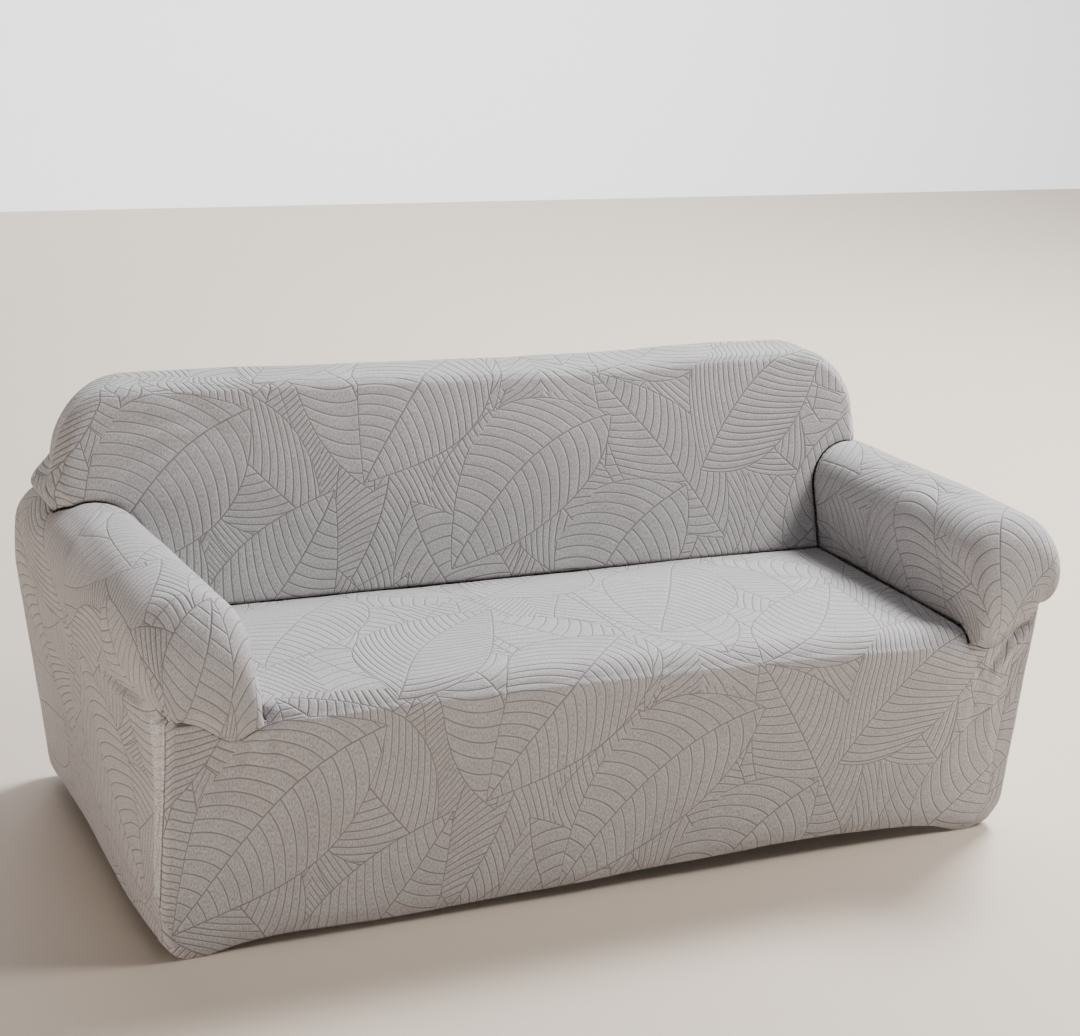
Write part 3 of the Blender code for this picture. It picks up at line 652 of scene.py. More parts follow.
def raiseLip(points, share):
    reach = ease(1 - (share - lipCut["share"]) / lipCut["heightShare"])
    above = np.clip(share / lipCut["share"], 0, 1) * reach
    near = above * np.exp(-(((points[..., 1] - lipCut["y"]) / lipCut["span"]) ** 2))
    near = near * ease((-points[..., 0] - lipCut["startX"]) / lipCut["fade"])
    near = near * ease((lipCut["endY"] - points[..., 1]) / lipCut["fade"])
    return points + stack(-lipCut["out"] * near, 0.0, lipCut["up"] * near)


# Stations along the cloth, each as a share of its own stretch.
drops = fine((0.0, 0.05, 0.13, 0.24, 0.38, 0.54, 0.70, 0.84, 0.94, 1.0), 6)  # down a skirt
rises = fine((0.0, 0.18, 0.30, 0.42, 0.55, 0.67, 0.76, 0.88, 1.0), 4)  # round a roll's front
alongs = fine((0.0, 0.12, 0.27, 0.45, 0.63, 0.81, 0.93, 1.0), 5)  # along a roll to the back
alongs = np.unique(np.round(np.concatenate([alongs, steps(12, 0.0, 0.09)]), 5))
besides = fine((0.0, 0.15, 0.40, 0.70, 1.0), 5)  # beside the back and over its band
turns = fine((0.0, 0.40, 0.75, 1.0), 3)  # round to the rear


def innerShares():
    # over the roll's inner part, where the face of the back has the same stations
    return fine(steps(9, 0.0, frontSeamShare["right"]), 4)


def rollShares(side, first, last):
    over = steps(16, frontSeamShare["right"], footShareOf[side])[1:]
    outer = steps(28, footShareOf[side], 1.0)[1:]
    every = np.concatenate([innerShares(), over, outer])
    return every[(every > first - 1e-6) & (every < last + 1e-6)]


def sharesBesideBack(side):
    outer = rollShares(side, footShareOf[side], 1.0)
    return (outer - footShareOf[side]) / (1 - footShareOf[side])


def backShares():
    # along the arch, closer together at the loose fold
    ends = np.array([0.0, lipCut["share"], 0.019, 0.030])
    return fine(np.concatenate([ends, steps(30, 0.045, 0.955), 1 - ends[::-1]]), 4)


def creaseSpread(share):
    # where each upright line of the back meets the crease, from -1 to 1
    x = frontEdgeLoop(share, edgeLoops["end"][0], edgeLoops["top"][0], 0.0)[:, 0]
    return lerp(2 * share - 1, x / abs(x[0]), backCut["creaseSpread"])


def rearSeam(side):
    # the rear's side seam, from the foot of the arch down to the hem
    upper = rollRearTurn(side, sharesBesideBack(side), 1.0)
    corner = rollBesideBack(side, 1.0, 1.0)
    lower = sideRearTurn(side, upper[-1], corner, drops[1:], 1.0)
    return np.concatenate([upper, lower])


def rearGrid(archPoints, hemSpread):
    # the rear hangs between its two side seams, from the arch down to the hem
    seams = [rearSeam(side) for side in sign]
    way = pathLength(seams[0])[1:] + backCut["firstDrop"]
    down = np.concatenate([[0.0], way / way[-1]])[:, None]
    across = (hemSpread + 1) / 2
    hem = lerp(seams[0][-1], seams[1][-1], across[:, None])
    x = lerp(archPoints[:, 0], hem[:, 0], down)
    z = lerp(archPoints[:, 2], hem[:, 2], down)
    points = stack(x, rearY(z) - hemTuck(z, hem[:, 2]), z)
    points[:, 0] = seams[0]
    points[:, -1] = seams[1]
    return points


# The folded strip that lies down the left front corner.
stripCut = {
    "firstWay": 1.80,  # how far round the corner the strip laps
    "width": 0.009,  # how far it reaches behind the corner's seam
    "edge": 0.003,
    "raise": 0.0042,
    "middle": (-0.80, 0.055),  # the corner's round turns about here
    "footZ": 0.07,
    "topZ": 0.452,
    "fade": 0.05,
    "topFade": 0.02,
    # how much painted light makes the strip's face paler
    "paintedLight": 0.40,
    "paintedLightX": -0.84,  # painted light on the strip's face lies left of this
    "paintedLightY": 0.010,  # and in front of this and the strip's width
}


def stripFade(z):
    foot = ease((z - stripCut["footZ"]) / stripCut["fade"])
    return foot * ease((stripCut["topZ"] - z) / stripCut["topFade"])


def awayFromCorner(points, share):
    away = points[..., :2] - np.array(stripCut["middle"])
    away = away / np.linalg.norm(away, axis=-1)[..., None]
    offset = stripCut["raise"] * (share * stripFade(points[..., 2]))[..., None]
    return points + np.concatenate([away * offset, 0 * offset], axis=-1)


def raiseStrip(points):
    behind = points[..., 1] - points[:1, :, 1]
    share = 1 - ease((behind - stripCut["width"]) / stripCut["edge"])
    return awayFromCorner(points, share)


def lapOverSeam():
    # the part of the strip that lies over the seat panel's edge
    fade = stripFade(frontFlap("left", 2.0, drops)[..., 2])
    ways = lerp(2.0, steps(6, stripCut["firstWay"], 2.0)[:-1, None], fade)
    lap = frontFlap("left", ways, drops[None, :])
    return awayFromCorner(lap, np.ones(lap.shape[:2]))


def onStrip(spot):
    # whether a place in the frame lies on the strip
    x, y, z = spot + Vector(cloth["middle"])
    low, high = stripCut["footZ"] + stripCut["fade"], stripCut["topZ"] - stripCut["fade"] / 3
    return x < stripCut["paintedLightX"] and y < stripCut["paintedLightY"] + stripCut["width"] and low < z < high


# From grids of points to cloth: each point also has its flat place in metres, u across and v
# along the cloth, which carries the pattern.
def flatFront(points, across=None):
    across = points[..., 0] if across is None else across
    return np.stack([across, points[..., 1] + points[..., 2]], axis=-1)


def addGrid(bm, flatLayer, points, flat):
    points = place(points)
    rows, columns = points.shape[:2]
    verts = [[bm.verts.new(points[r, c]) for c in range(columns)] for r in range(rows)]
    for r in range(rows - 1):
        for c in range(columns - 1):
            corners = ((r, c), (r, c + 1), (r + 1, c + 1), (r + 1, c))
            face = bm.faces.new([verts[i][j] for i, j in corners])
            for loop, (i, j) in zip(face.loops, corners):
                loop[flatLayer].uv = flat[i, j]


def wander(flat):
    # knitted leaves never lie quite straight, so the flat places wander a little
    scale = cloth["wanderScale"]
    places = [Vector((u * scale, v * scale, 5.0)) for u, v in flat.reshape(-1, 2)]
    aside = Vector((3.3, 7.9, 2.5))
    drift = np.array([(noise.noise(spot), noise.noise(spot + aside)) for spot in places])
    return flat + cloth["wander"] * drift.reshape(flat.shape)


def intoCloth(edge):
    # the way from a cut edge into the cloth
    ends = [vert.co for vert in edge.verts]
    line = (ends[1] - ends[0]).normalized()
    way = edge.link_faces[0].calc_center_median() - (ends[0] + ends[1]) / 2
    return (way - line * way.dot(line)).normalized()


def drawInEdges(bm, distance):
    moves = {}
    for vert in bm.verts:
        ways = [intoCloth(edge) for edge in vert.link_edges if edge.is_boundary]
        if len(ways) == 2:
            mitre = max(1 + ways[0].dot(ways[1]), cloth["mitreLeast"])
            moves[vert] = (ways[0] + ways[1]) * distance / mitre
    for vert, move in moves.items():
        vert.co += move


def faceOutwards(bm):
    bmesh.ops.recalc_face_normals(bm, faces=bm.faces)
    inside = Vector((0.0, 0.0, 0.30))
    total = 0.0
    for face in bm.faces:
        away = face.calc_center_median() - inside
        total += away.dot(face.normal) * face.calc_area()
    if total < 0:
        bmesh.ops.reverse_faces(bm, faces=bm.faces)


def nearestOnLine(points, start, end):
    # each point's share of the way along the line, and its distance from it
    start, end = np.array(start), np.array(end)
    line = end - start
    t = np.clip((points - start) @ line / (line @ line), 0, 1)
    return t, np.linalg.norm(points - start - t[:, None] * line, axis=1)


def dipIntoSeams(bm, points):
    # how far each point is pulled in: the cut edges dip, the hem does not
    edges = [vert for vert in bm.verts if vert.is_boundary and vert.co.z > cloth["hemTop"]]
    tree = KDTree(len(edges))
    for i, vert in enumerate(edges):
        tree.insert(vert.co, i)
    tree.balance()
    far = np.array([tree.find(p)[2] for p in points])
    x, y, z = points.T
    inside = (abs(x) < cloth["creaseHalf"]) & (y > cloth["creaseFrontY"]) & (z > cloth["creaseLowZ"])
    deep = np.where(inside, cloth["creaseDip"], cloth["seamDip"])
    return deep * np.exp(-((far / cloth["seamReach"]) ** 2))


def unevenness(points):
    aside = Vector((3.0, 1.0, 7.0))
    slow = np.array([noise.noise(Vector(p) * cloth["slowScale"]) for p in points])
    quick = np.array([noise.noise(Vector(p) * cloth["rippleScale"] + aside) for p in points])
    return cloth["slowSize"] * slow + cloth["rippleSize"] * quick


def foldCloth(points, folds):
    # each fold fades out towards the ends of its line
    offset = np.zeros(len(points))
    for line, width, depth in folds:
        parts = [nearestOnLine(points, *ends) for ends in zip(line[:-1], line[1:])]
        along, far = np.array(parts).transpose(1, 0, 2)
        nearest = far.argmin(axis=0)
        t = (nearest + along[nearest, np.arange(len(points))]) / len(parts)
        taper = np.sin(pi * np.clip(0.10 + 0.80 * t, 0, 1))
        offset -= depth * taper * np.exp(-((far.min(axis=0) / width) ** 2))
    return offset


# Soft darker patches in the cloth, small and broad ones.
blotches = {
    "base": 0.06,
    "most": 0.25,
    "small": 0.16,
    "smallScale": 46.0,
    "broad": 0.10,
    "broadScale": 7.0,
}


def paintBlotches(mesh):
    # kept on the mesh for the finish to read; below 0, on the folded strip, it stands for painted light
    patches = mesh.attributes.new("blotchAndStripLight", "FLOAT", "POINT")
    for vert, patch in zip(mesh.vertices, patches.data):
        small = noise.noise(vert.co * blotches["smallScale"])
        broad = noise.noise(vert.co * blotches["broadScale"] + Vector((2.0, 9.0, 4.0)))
        value = blotches["base"] + blotches["small"] * small + blotches["broad"] * broad
        patch.value = min(max(value, 0.0), blotches["most"])
        # the folded strip's face gets painted light: a value below 0 makes its cloth paler
        if mesh.name == "cloth_arm_left" and onStrip(vert.co):
            patch.value = -stripCut["paintedLight"]


# The cloth's finish: a soft knitted jacquard with large overlapping leaves drawn by fine grooves, with
# painted shade in the grooves and a painted highlight on their rims.
jacquardLook = {
    "colour": (0.370, 0.353, 0.357, 1.0),
    "shade": (0.200, 0.182, 0.179, 1.0),  # painted shade in the grooves, and the colour the darker patches lean to
    # the knit's lighter stitches, and the colour of the painted highlight on the grooves' rims
    "pale": (0.560, 0.544, 0.552, 1.0),
    "roughness": 0.88,
    "specular": 0.25,
    "sheen": 0.30,
    "sheenRoughness": 0.45,
    "sheenTint": (0.95, 0.93, 0.93, 1.0),
    "core": 0.0003,  # a groove is at its deepest within this of its middle
    "groove": 0.0018,  # half width of a groove, out to where it has faded
    # how much of the painted shade the grooves take
    "grooveShadeShare": 0.80,
    "rim": 0.0027,
    "paintedRimLight": 0.0042,  # painted highlight on a groove's rims, out to here
    "rimHighlightShare": 0.55,
    "puff": 0.0070,  # reach of the soft rise between the grooves
    "puffHeight": 0.22,
    "knitScale": 420.0,
    "knitStretch": (1.0, 0.45, 1.0),  # the stitches are longer along the cloth
    "knitTone": (0.28, 0.72),
    "knitHeight": 0.45,
    "relief": 0.0019,
    "bump": 0.85,
    "bare": 3.0,  # how fast the grooves go where the strip's face has painted light
}
# The leaves lie one to a cell in rows, one layer over the next, the top layer first.
leafLayers = {
    "turn": (44.0, -62.0, 82.0),  # way the leaves point, in degrees
    "shift": ((3.07, 1.02), (9.19, 4.11), (5.03, 7.21)),
    "length": (0.50, 0.47, 0.44),
    "width": (0.270, 0.250, 0.230),
}
leafCut = {
    "bend": 0.05,  # how far the middle rib bows
    "swing": 0.55,  # how far a leaf turns in its cell, in radians
    "full": 0.90,
    "skew": 0.25,  # how much fuller the foot of a leaf is than its tip
    "veinGap": 0.0225,
    "veinLeast": 0.9,
    "veinSpread": 0.35,  # how much closer the veins of some leaves lie
    "veinOffset": 0.27,  # how far one side's veins lie past the other's, in gaps
    "veinStart": (0.05, 0.75),  # slope of the veins at the middle rib, least and most
    "veinCurve": 4.0,
    "ribWeight": 0.8,  # below 1 the middle rib is broader than the veins
}


class NodeBench:
    # adds nodes to one material; a value that is not a socket is set on the node's own input
    def __init__(self, tree):
        self.tree = tree

    def add(self, kind, **settings):
        node = self.tree.nodes.new(kind)
        for key, value in settings.items():
            setattr(node, key, value)
        return node

    def link(self, source, socket):
        if isinstance(source, bpy.types.NodeSocket):
            self.tree.links.new(source, socket)
        else:
            socket.default_value = source

    def calc(self, operation, *values):
        node = self.add("ShaderNodeMath", operation=operation)
        for value, socket in zip(values, node.inputs):
            self.link(value, socket)
        return node.outputs[0]

    def move(self, operation, *values):
        node = self.add("ShaderNodeVectorMath", operation=operation)
        for value, socket in zip(values, node.inputs):
            self.link(value, socket)
        return node.outputs["Value" if operation == "DOT_PRODUCT" else "Vector"]

    def apart(self, spot):
        node = self.add("ShaderNodeSeparateXYZ")
        self.link(spot, node.inputs[0])
        return tuple(node.outputs)

    def ramp(self, value, low, high, first=0.0, last=1.0):
        node = self.add("ShaderNodeMapRange", interpolation_type="SMOOTHSTEP")
        for source, socket in zip((value, low, high, first, last), node.inputs):
            self.link(source, socket)
        return node.outputs[0]

    def mix(self, kind, factor, first, second):
        node = self.add("ShaderNodeMix", data_type=kind)
        sockets = [s for s in node.inputs if s.enabled]
        for source, socket in zip((factor, first, second), sockets):
            self.link(source, socket)
        return [s for s in node.outputs if s.enabled][0]

    def noise(self, spot, scale, detail):
        node = self.add("ShaderNodeTexNoise", noise_dimensions="2D")
        node.inputs["Scale"].default_value = scale
        node.inputs["Detail"].default_value = detail
        self.link(spot, node.inputs["Vector"])
        return node.outputs[0]


def leafRows(bench, flat, number):
    # turns the layer's rows level and counts in cells; the flat place comes with a third part of 1
    turn = radians(leafLayers["turn"][number])
    shiftX, shiftY = leafLayers["shift"][number]
    length, width = leafLayers["length"][number], leafLayers["width"][number]
    rows = bench.add("ShaderNodeCombineXYZ")
    for x, y, size, socket in ((cos(turn), sin(turn), length, 0), (-sin(turn), cos(turn), width, 1)):
        way = (x / size, y / size, -(shiftX * x + shiftY * y) / size)
        bench.link(bench.move("DOT_PRODUCT", flat, way), rows.inputs[socket])
    return rows.outputs[0]


def leafLayer(bench, flat, number):
    # gives the place along the leaf, across it and its lot, and how far inside its edge
    length, width = leafLayers["length"][number], leafLayers["width"][number]
    rows = leafRows(bench, flat, number)
    cell = bench.move("FLOOR", rows)
    chance = bench.add("ShaderNodeTexWhiteNoise", noise_dimensions="2D")
    bench.link(cell, chance.inputs["Vector"])
    lots = bench.apart(chance.outputs["Color"])
    spot = bench.move("FRACTION", rows)
    spot = bench.move("MULTIPLY_ADD", spot, (length, width, 0.0), (-length / 2, -width / 2, 0.0))
    flip = bench.calc("MULTIPLY", bench.calc("GREATER_THAN", lots[0], 0.5), pi)
    swing = bench.calc("MULTIPLY_ADD", lots[1], leafCut["swing"], -leafCut["swing"] / 2)
    turned = bench.add("ShaderNodeVectorRotate", rotation_type="Z_AXIS")
    bench.link(spot, turned.inputs["Vector"])
    bench.link(bench.calc("ADD", flip, swing), turned.inputs["Angle"])
    x, y, _ = bench.apart(turned.outputs[0])
    square = bench.calc("MULTIPLY", x, x)
    share = bench.calc("MULTIPLY", square, (2 / (length * leafCut["full"])) ** 2)
    bow = bench.calc("MULTIPLY_ADD", lots[2], 2 * leafCut["bend"], -leafCut["bend"])
    y = bench.calc("MULTIPLY_ADD", bow, bench.calc("SUBTRACT", share, 0.5), y)
    half = leafCut["full"] * width / 2
    fuller = bench.calc("MULTIPLY_ADD", x, -half * leafCut["skew"] * 2 / length, half)
    body = bench.calc("MULTIPLY", bench.calc("SUBTRACT", 1.0, share), fuller)
    inside = bench.calc("SUBTRACT", body, bench.calc("ABSOLUTE", y))
    leaf = bench.add("ShaderNodeCombineXYZ")
    for source, socket in zip((x, y, lots[2]), leaf.inputs):
        bench.link(source, socket)
    return leaf.outputs[0], inside


def leafPattern(bench, flat):
    # how far the nearest groove is, in metres
    layers = [leafLayer(bench, flat, number) for number in range(len(leafLayers["turn"]))]
    leaf, inside = layers[-1]
    nearest = bench.calc("ABSOLUTE", inside)
    for above, inside in reversed(layers[:-1]):
        on = bench.calc("GREATER_THAN", inside, 0.0)
        leaf = bench.mix("VECTOR", on, leaf, above)
        rim = bench.calc("ABSOLUTE", inside)
        nearest = bench.calc("MINIMUM", bench.calc("ADD", nearest, on), rim)
    along, y, lot = bench.apart(leaf)
    across = bench.calc("ABSOLUTE", y)
    least, most = leafCut["veinStart"]
    start = bench.calc("MULTIPLY_ADD", lot, most - least, least)
    curved = bench.calc("MULTIPLY", across, leafCut["veinCurve"])
    back = bench.calc("MULTIPLY", across, bench.calc("ADD", curved, start))
    other = bench.calc("MULTIPLY", bench.calc("SIGN", y), leafCut["veinGap"] * leafCut["veinOffset"])
    phase = bench.calc("SUBTRACT", bench.calc("ADD", along, other), back)
    closer = bench.calc("MULTIPLY_ADD", lot, leafCut["veinSpread"], leafCut["veinLeast"])
    phase = bench.calc("MULTIPLY", phase, closer)
    off = bench.calc("PINGPONG", phase, leafCut["veinGap"] / 2)
    slope = bench.calc("MULTIPLY_ADD", curved, 2.0, start)
    steep = bench.calc("SQRT", bench.calc("MULTIPLY_ADD", slope, slope, 1.0))
    steep = bench.calc("MULTIPLY", steep, closer)
    nearest = bench.calc("MINIMUM", nearest, bench.calc("DIVIDE", off, steep))
    return bench.calc("MINIMUM", nearest, bench.calc("MULTIPLY", across, leafCut["ribWeight"]))


def makeJacquard():
    material = bpy.data.materials.new("stretch_jacquard_cloth")
    material.use_nodes = True
    bench = NodeBench(material.node_tree)
    shader = material.node_tree.nodes["Principled BSDF"]
    cut = bench.add("ShaderNodeUVMap", uv_map="cut")
    flat = cut.outputs[0]
    near = leafPattern(bench, bench.move("ADD", flat, (0.0, 0.0, 1.0)))
    groove = bench.ramp(near, jacquardLook["core"], jacquardLook["groove"], 1.0, 0.0)
    rise = bench.ramp(near, 0.0, jacquardLook["rim"])
    puff = bench.ramp(near, 0.0, jacquardLook["puff"])
    stitches = bench.move("MULTIPLY", flat, jacquardLook["knitStretch"])
    knit = bench.noise(stitches, jacquardLook["knitScale"], 1.0)
    blotchAndStripLight = bench.add("ShaderNodeAttribute", attribute_name="blotchAndStripLight").outputs["Fac"]

    tone = bench.ramp(knit, *jacquardLook["knitTone"])
    colour = bench.mix("RGBA", tone, jacquardLook["colour"], jacquardLook["pale"])
    colour = bench.mix("RGBA", blotchAndStripLight, colour, jacquardLook["shade"])
    colour.node.clamp_factor = False  # below 0 the mix paints light on the folded strip's face, and its grooves are gone
    shown = bench.calc("MULTIPLY_ADD", blotchAndStripLight, jacquardLook["bare"], 1.0)
    shown.node.use_clamp = True
    groove = bench.calc("MULTIPLY", groove, shown)
    # painted highlight on the grooves' rims
    lit = (jacquardLook["groove"], jacquardLook["paintedRimLight"], jacquardLook["rimHighlightShare"], 0.0)
    paintedRimLight = bench.calc("MULTIPLY", bench.ramp(near, *lit), shown)
    colour = bench.mix("RGBA", paintedRimLight, colour, jacquardLook["pale"])
    # painted shade in the grooves
    paintedGrooveShade = bench.calc("MULTIPLY", groove, jacquardLook["grooveShadeShare"])
    colour = bench.mix("RGBA", paintedGrooveShade, colour, jacquardLook["shade"])
    bench.link(colour, shader.inputs["Base Color"])

    height = bench.calc("MULTIPLY_ADD", puff, jacquardLook["puffHeight"], rise)
    height = bench.calc("MULTIPLY_ADD", knit, jacquardLook["knitHeight"], height)
    bump = bench.add("ShaderNodeBump")
    bump.inputs["Strength"].default_value = jacquardLook["bump"]
    bump.inputs["Distance"].default_value = jacquardLook["relief"]
    bench.link(height, bump.inputs["Height"])
    bench.link(bump.outputs[0], shader.inputs["Normal"])
    shader.inputs["Roughness"].default_value = jacquardLook["roughness"]
    shader.inputs["Specular IOR Level"].default_value = jacquardLook["specular"]
    shader.inputs["Sheen Weight"].default_value = jacquardLook["sheen"]
    shader.inputs["Sheen Roughness"].default_value = jacquardLook["sheenRoughness"]
    shader.inputs["Sheen Tint"].default_value = jacquardLook["sheenTint"]
    return material


jacquard = makeJacquard()
print("cloth finish ready")


def panelMesh(name, grids, folds):
    bm = bmesh.new()
    flatLayer = bm.loops.layers.uv.new("cut")
    for points, flatPlace in grids:
        addGrid(bm, flatLayer, points, wander(flatPlace))
    bmesh.ops.remove_doubles(bm, verts=bm.verts, dist=cloth["weld"])
    faceOutwards(bm)
    drawInEdges(bm, cloth["seamGap"])
    bm.normal_update()
    bm.verts.ensure_lookup_table()
    points = np.array([vert.co for vert in bm.verts])
    normals = np.array([vert.normal for vert in bm.verts])
    offset = unevenness(points) + foldCloth(points, folds) - dipIntoSeams(bm, points)
    points = points + normals * offset[:, None]
    for vert, point in zip(bm.verts, points):
        vert.co = point
    mesh = bpy.data.meshes.new(name)
    bm.to_mesh(mesh)
    bm.free()
    mesh.shade_smooth()
    paintBlotches(mesh)
    return mesh


def makePanel(name, grids, folds):
    panel = bpy.data.objects.new(name, panelMesh(name, grids, folds))
    bpy.context.scene.collection.objects.link(panel)
    bpy.context.view_layer.objects.active = panel
    panel.select_set(True)
    thickness = panel.modifiers.new("thickness", "SOLIDIFY")
    thickness.thickness = cloth["thick"]
    thickness.offset = -1.0
    bpy.ops.object.modifier_apply(modifier="thickness")
    panel.select_set(False)
    panel.data.materials.append(jacquard)
    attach(panel, "root")
    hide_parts(name.replace("cloth_", ""))
    print(name, len(panel.data.polygons), "faces")


# Soft troughs (depth above 0) and ridges (below 0) of the cloth, each along a line of places in
# the frame's own coordinates. Where two panels meet, a fold runs on in both.
def fold(width, depth, *line):
    return line, width, depth


notchFold = fold(0.007, 0.013, (-0.912, -0.16, 0.452), (-0.895, -0.245, 0.440), (-0.885, -0.325, 0.446))
notchRidge = fold(
    0.008, -0.004,
    (-0.905, -0.22, 0.424), (-0.890, -0.29, 0.428), (-0.884, -0.345, 0.424),
)
tuckFold = fold(0.005, 0.007, (-0.884, -0.345, 0.440), (-0.872, -0.381, 0.436), (-0.830, -0.402, 0.434))
tuckRidge = fold(
    0.005, -0.0035,
    (-0.880, -0.360, 0.426), (-0.862, -0.390, 0.424), (-0.820, -0.402, 0.424),
)
cornerDimple = fold(0.012, 0.010, (-0.705, -0.395, 0.448), (-0.701, -0.406, 0.428))
cornerPull = fold(
    0.012, 0.0035,
    (-0.703, -0.408, 0.430), (-0.690, -0.414, 0.390), (-0.668, -0.411, 0.345), (-0.645, -0.407, 0.300),
)
cornerPullDown = fold(
    0.011, 0.0030,
    (-0.713, -0.410, 0.425), (-0.729, -0.408, 0.375), (-0.746, -0.398, 0.300),
)
underFold = fold(
    0.007, 0.013,
    (0.862, -0.375, 0.440), (0.838, -0.395, 0.425), (0.800, -0.400, 0.392), (0.758, -0.397, 0.335),
)
underRidge = fold(
    0.009, -0.005,
    (0.868, -0.360, 0.425), (0.835, -0.392, 0.402), (0.800, -0.396, 0.368), (0.765, -0.394, 0.310),
)
rightPucker = fold(0.009, 0.004, (0.698, -0.398, 0.405), (0.726, -0.403, 0.355), (0.752, -0.395, 0.305))

seatFolds = [
    tuckFold, tuckRidge, cornerDimple, cornerPull, cornerPullDown, underFold, underRidge, rightPucker,
    fold(0.012, 0.0025, (-0.690, -0.404, 0.425), (-0.645, -0.419, 0.398), (-0.560, -0.419, 0.368)),
    fold(0.016, 0.0025, (-0.690, -0.375, 0.446), (-0.626, -0.345, 0.450), (-0.513, -0.290, 0.453)),
    fold(0.010, -0.0025, (-0.705, -0.416, 0.420), (-0.700, -0.410, 0.350), (-0.690, -0.405, 0.270)),
    fold(0.010, 0.0028, (0.692, -0.404, 0.398), (0.650, -0.413, 0.369), (0.590, -0.416, 0.345)),
    fold(0.011, 0.0025, (0.740, -0.398, 0.340), (0.735, -0.396, 0.270), (0.745, -0.390, 0.200)),
    fold(0.009, -0.0025, (0.776, -0.392, 0.340), (0.780, -0.387, 0.260), (0.795, -0.380, 0.150)),
    fold(0.014, 0.0025, (0.680, -0.378, 0.424), (0.655, -0.330, 0.432), (0.640, -0.250, 0.438)),
]


def seatPanel():
    across = fine(np.concatenate([[-1.0], steps(24, -0.965, 0.965), [1.0]]), 5)
    backs = fine(np.array((1.0, 0.92, 0.76, 0.60, 0.45, 0.30, 0.16, 0.06)), 4)
    rows = [seatTop(across, share) for share in backs]
    rows += [seatCrest(across, angle) for angle in steps(16, 0.0, seatCut["crestAngle"])]
    rows += [frontMiddle(across, drop) for drop in drops[1:]]
    middle = np.stack(rows)
    grids = [(middle, flatFront(middle))]
    for side, shareEnd in frontSeamShare.items():
        ways = frontWay(side, rollShares(side, 0.0, shareEnd))[None, :]
        points = frontFlap(side, ways, drops[:, None])
        turned = np.clip(ways - 1, 0, 1)
        radius = cornerRadius(points[..., 2])
        extra = radius * (turned * pi / 2 - np.sin(turned * pi / 2))
        flat = flatFront(points, points[..., 0] + sign[side] * extra)
        flat[..., 1] -= points[..., 1] * turned
        grids.append((points, flat))
    makePanel("cloth_seat_panel", grids, seatFolds)


seatPanel()

leftArmFolds = [
    notchFold, notchRidge, tuckFold, tuckRidge, cornerDimple, cornerPullDown,
    fold(0.012, 0.0030, (-0.880, -0.372, 0.462), (-0.850, -0.408, 0.540), (-0.800, -0.385, 0.605)),
    fold(0.012, 0.0025, (-0.868, -0.385, 0.455), (-0.825, -0.418, 0.520), (-0.765, -0.404, 0.565)),
    fold(0.012, 0.0030, (-0.896, -0.345, 0.470), (-0.910, -0.330, 0.540), (-0.880, -0.325, 0.600)),
    fold(
        0.030, 0.0035,
        (-0.899, 0.220, 0.540), (-0.895, 0.110, 0.430), (-0.888, -0.040, 0.330), (-0.876, -0.130, 0.200),
    ),
    fold(
        0.022, 0.0030,
        (-0.868, 0.290, 0.600), (-0.865, 0.140, 0.606), (-0.880, -0.080, 0.604), (-0.905, -0.270, 0.580),
    ),
    fold(0.022, 0.0025, (-0.880, -0.250, 0.400), (-0.872, -0.255, 0.280), (-0.866, -0.260, 0.160)),
    fold(
        0.0045, 0.0045,
        (-0.8640, -0.3575, 0.430), (-0.8620, -0.3575, 0.265), (-0.8600, -0.3575, 0.100),
    ),
]
rightArmFolds = [
    underFold, underRidge, rightPucker,
    fold(0.008, 0.005, (0.872, -0.320, 0.430), (0.876, -0.250, 0.436), (0.880, -0.120, 0.440)),
    fold(0.010, 0.0025, (0.846, -0.398, 0.440), (0.852, -0.412, 0.500), (0.820, -0.412, 0.560)),
    fold(0.020, 0.0025, (0.775, 0.020, 0.628), (0.772, -0.180, 0.628), (0.800, -0.340, 0.615)),
]
armFolds = {"left": leftArmFolds, "right": rightArmFolds}


def armRoll(side):
    # in four stretches: the rounded front, on to the back, beside it and round to the rear
    shares = rollShares(side, 0.0, 1.0)[None, :]
    beside = sharesBesideBack(side)[None, :]
    front = rollFront(side, shares, rises[:, None])
    straight = rollStraight(side, shares, alongs[1:, None])
    back = rollBesideBack(side, beside, besides[:, None])
    turned = rollRearTurn(side, beside, turns[1:, None])
    return front, straight, back, turned


def armSkirt(side, front, straight, back, turned):
    # the turn round the front corner, the outer side and the turn round to the rear
    ways = frontWay(side, rollShares(side, frontSeamShare[side], 1.0))
    flap = frontFlap(side, ways[:, None], drops[None, :])
    under = np.concatenate([front[1:, -1], straight[:, -1], back[1:, -1]])
    outer = sidePanel(side, under[:, None, :], drops[None, :])
    if side == "left":
        flap, outer = lapOverSeam(), raiseStrip(outer)
    ends = turned[:, -1][:, None, :]
    corner = sideRearTurn(side, ends, back[-1, -1], drops[None, :], turns[1:, None])
    return np.concatenate([flap, outer, corner]), len(flap), under[0, 1]


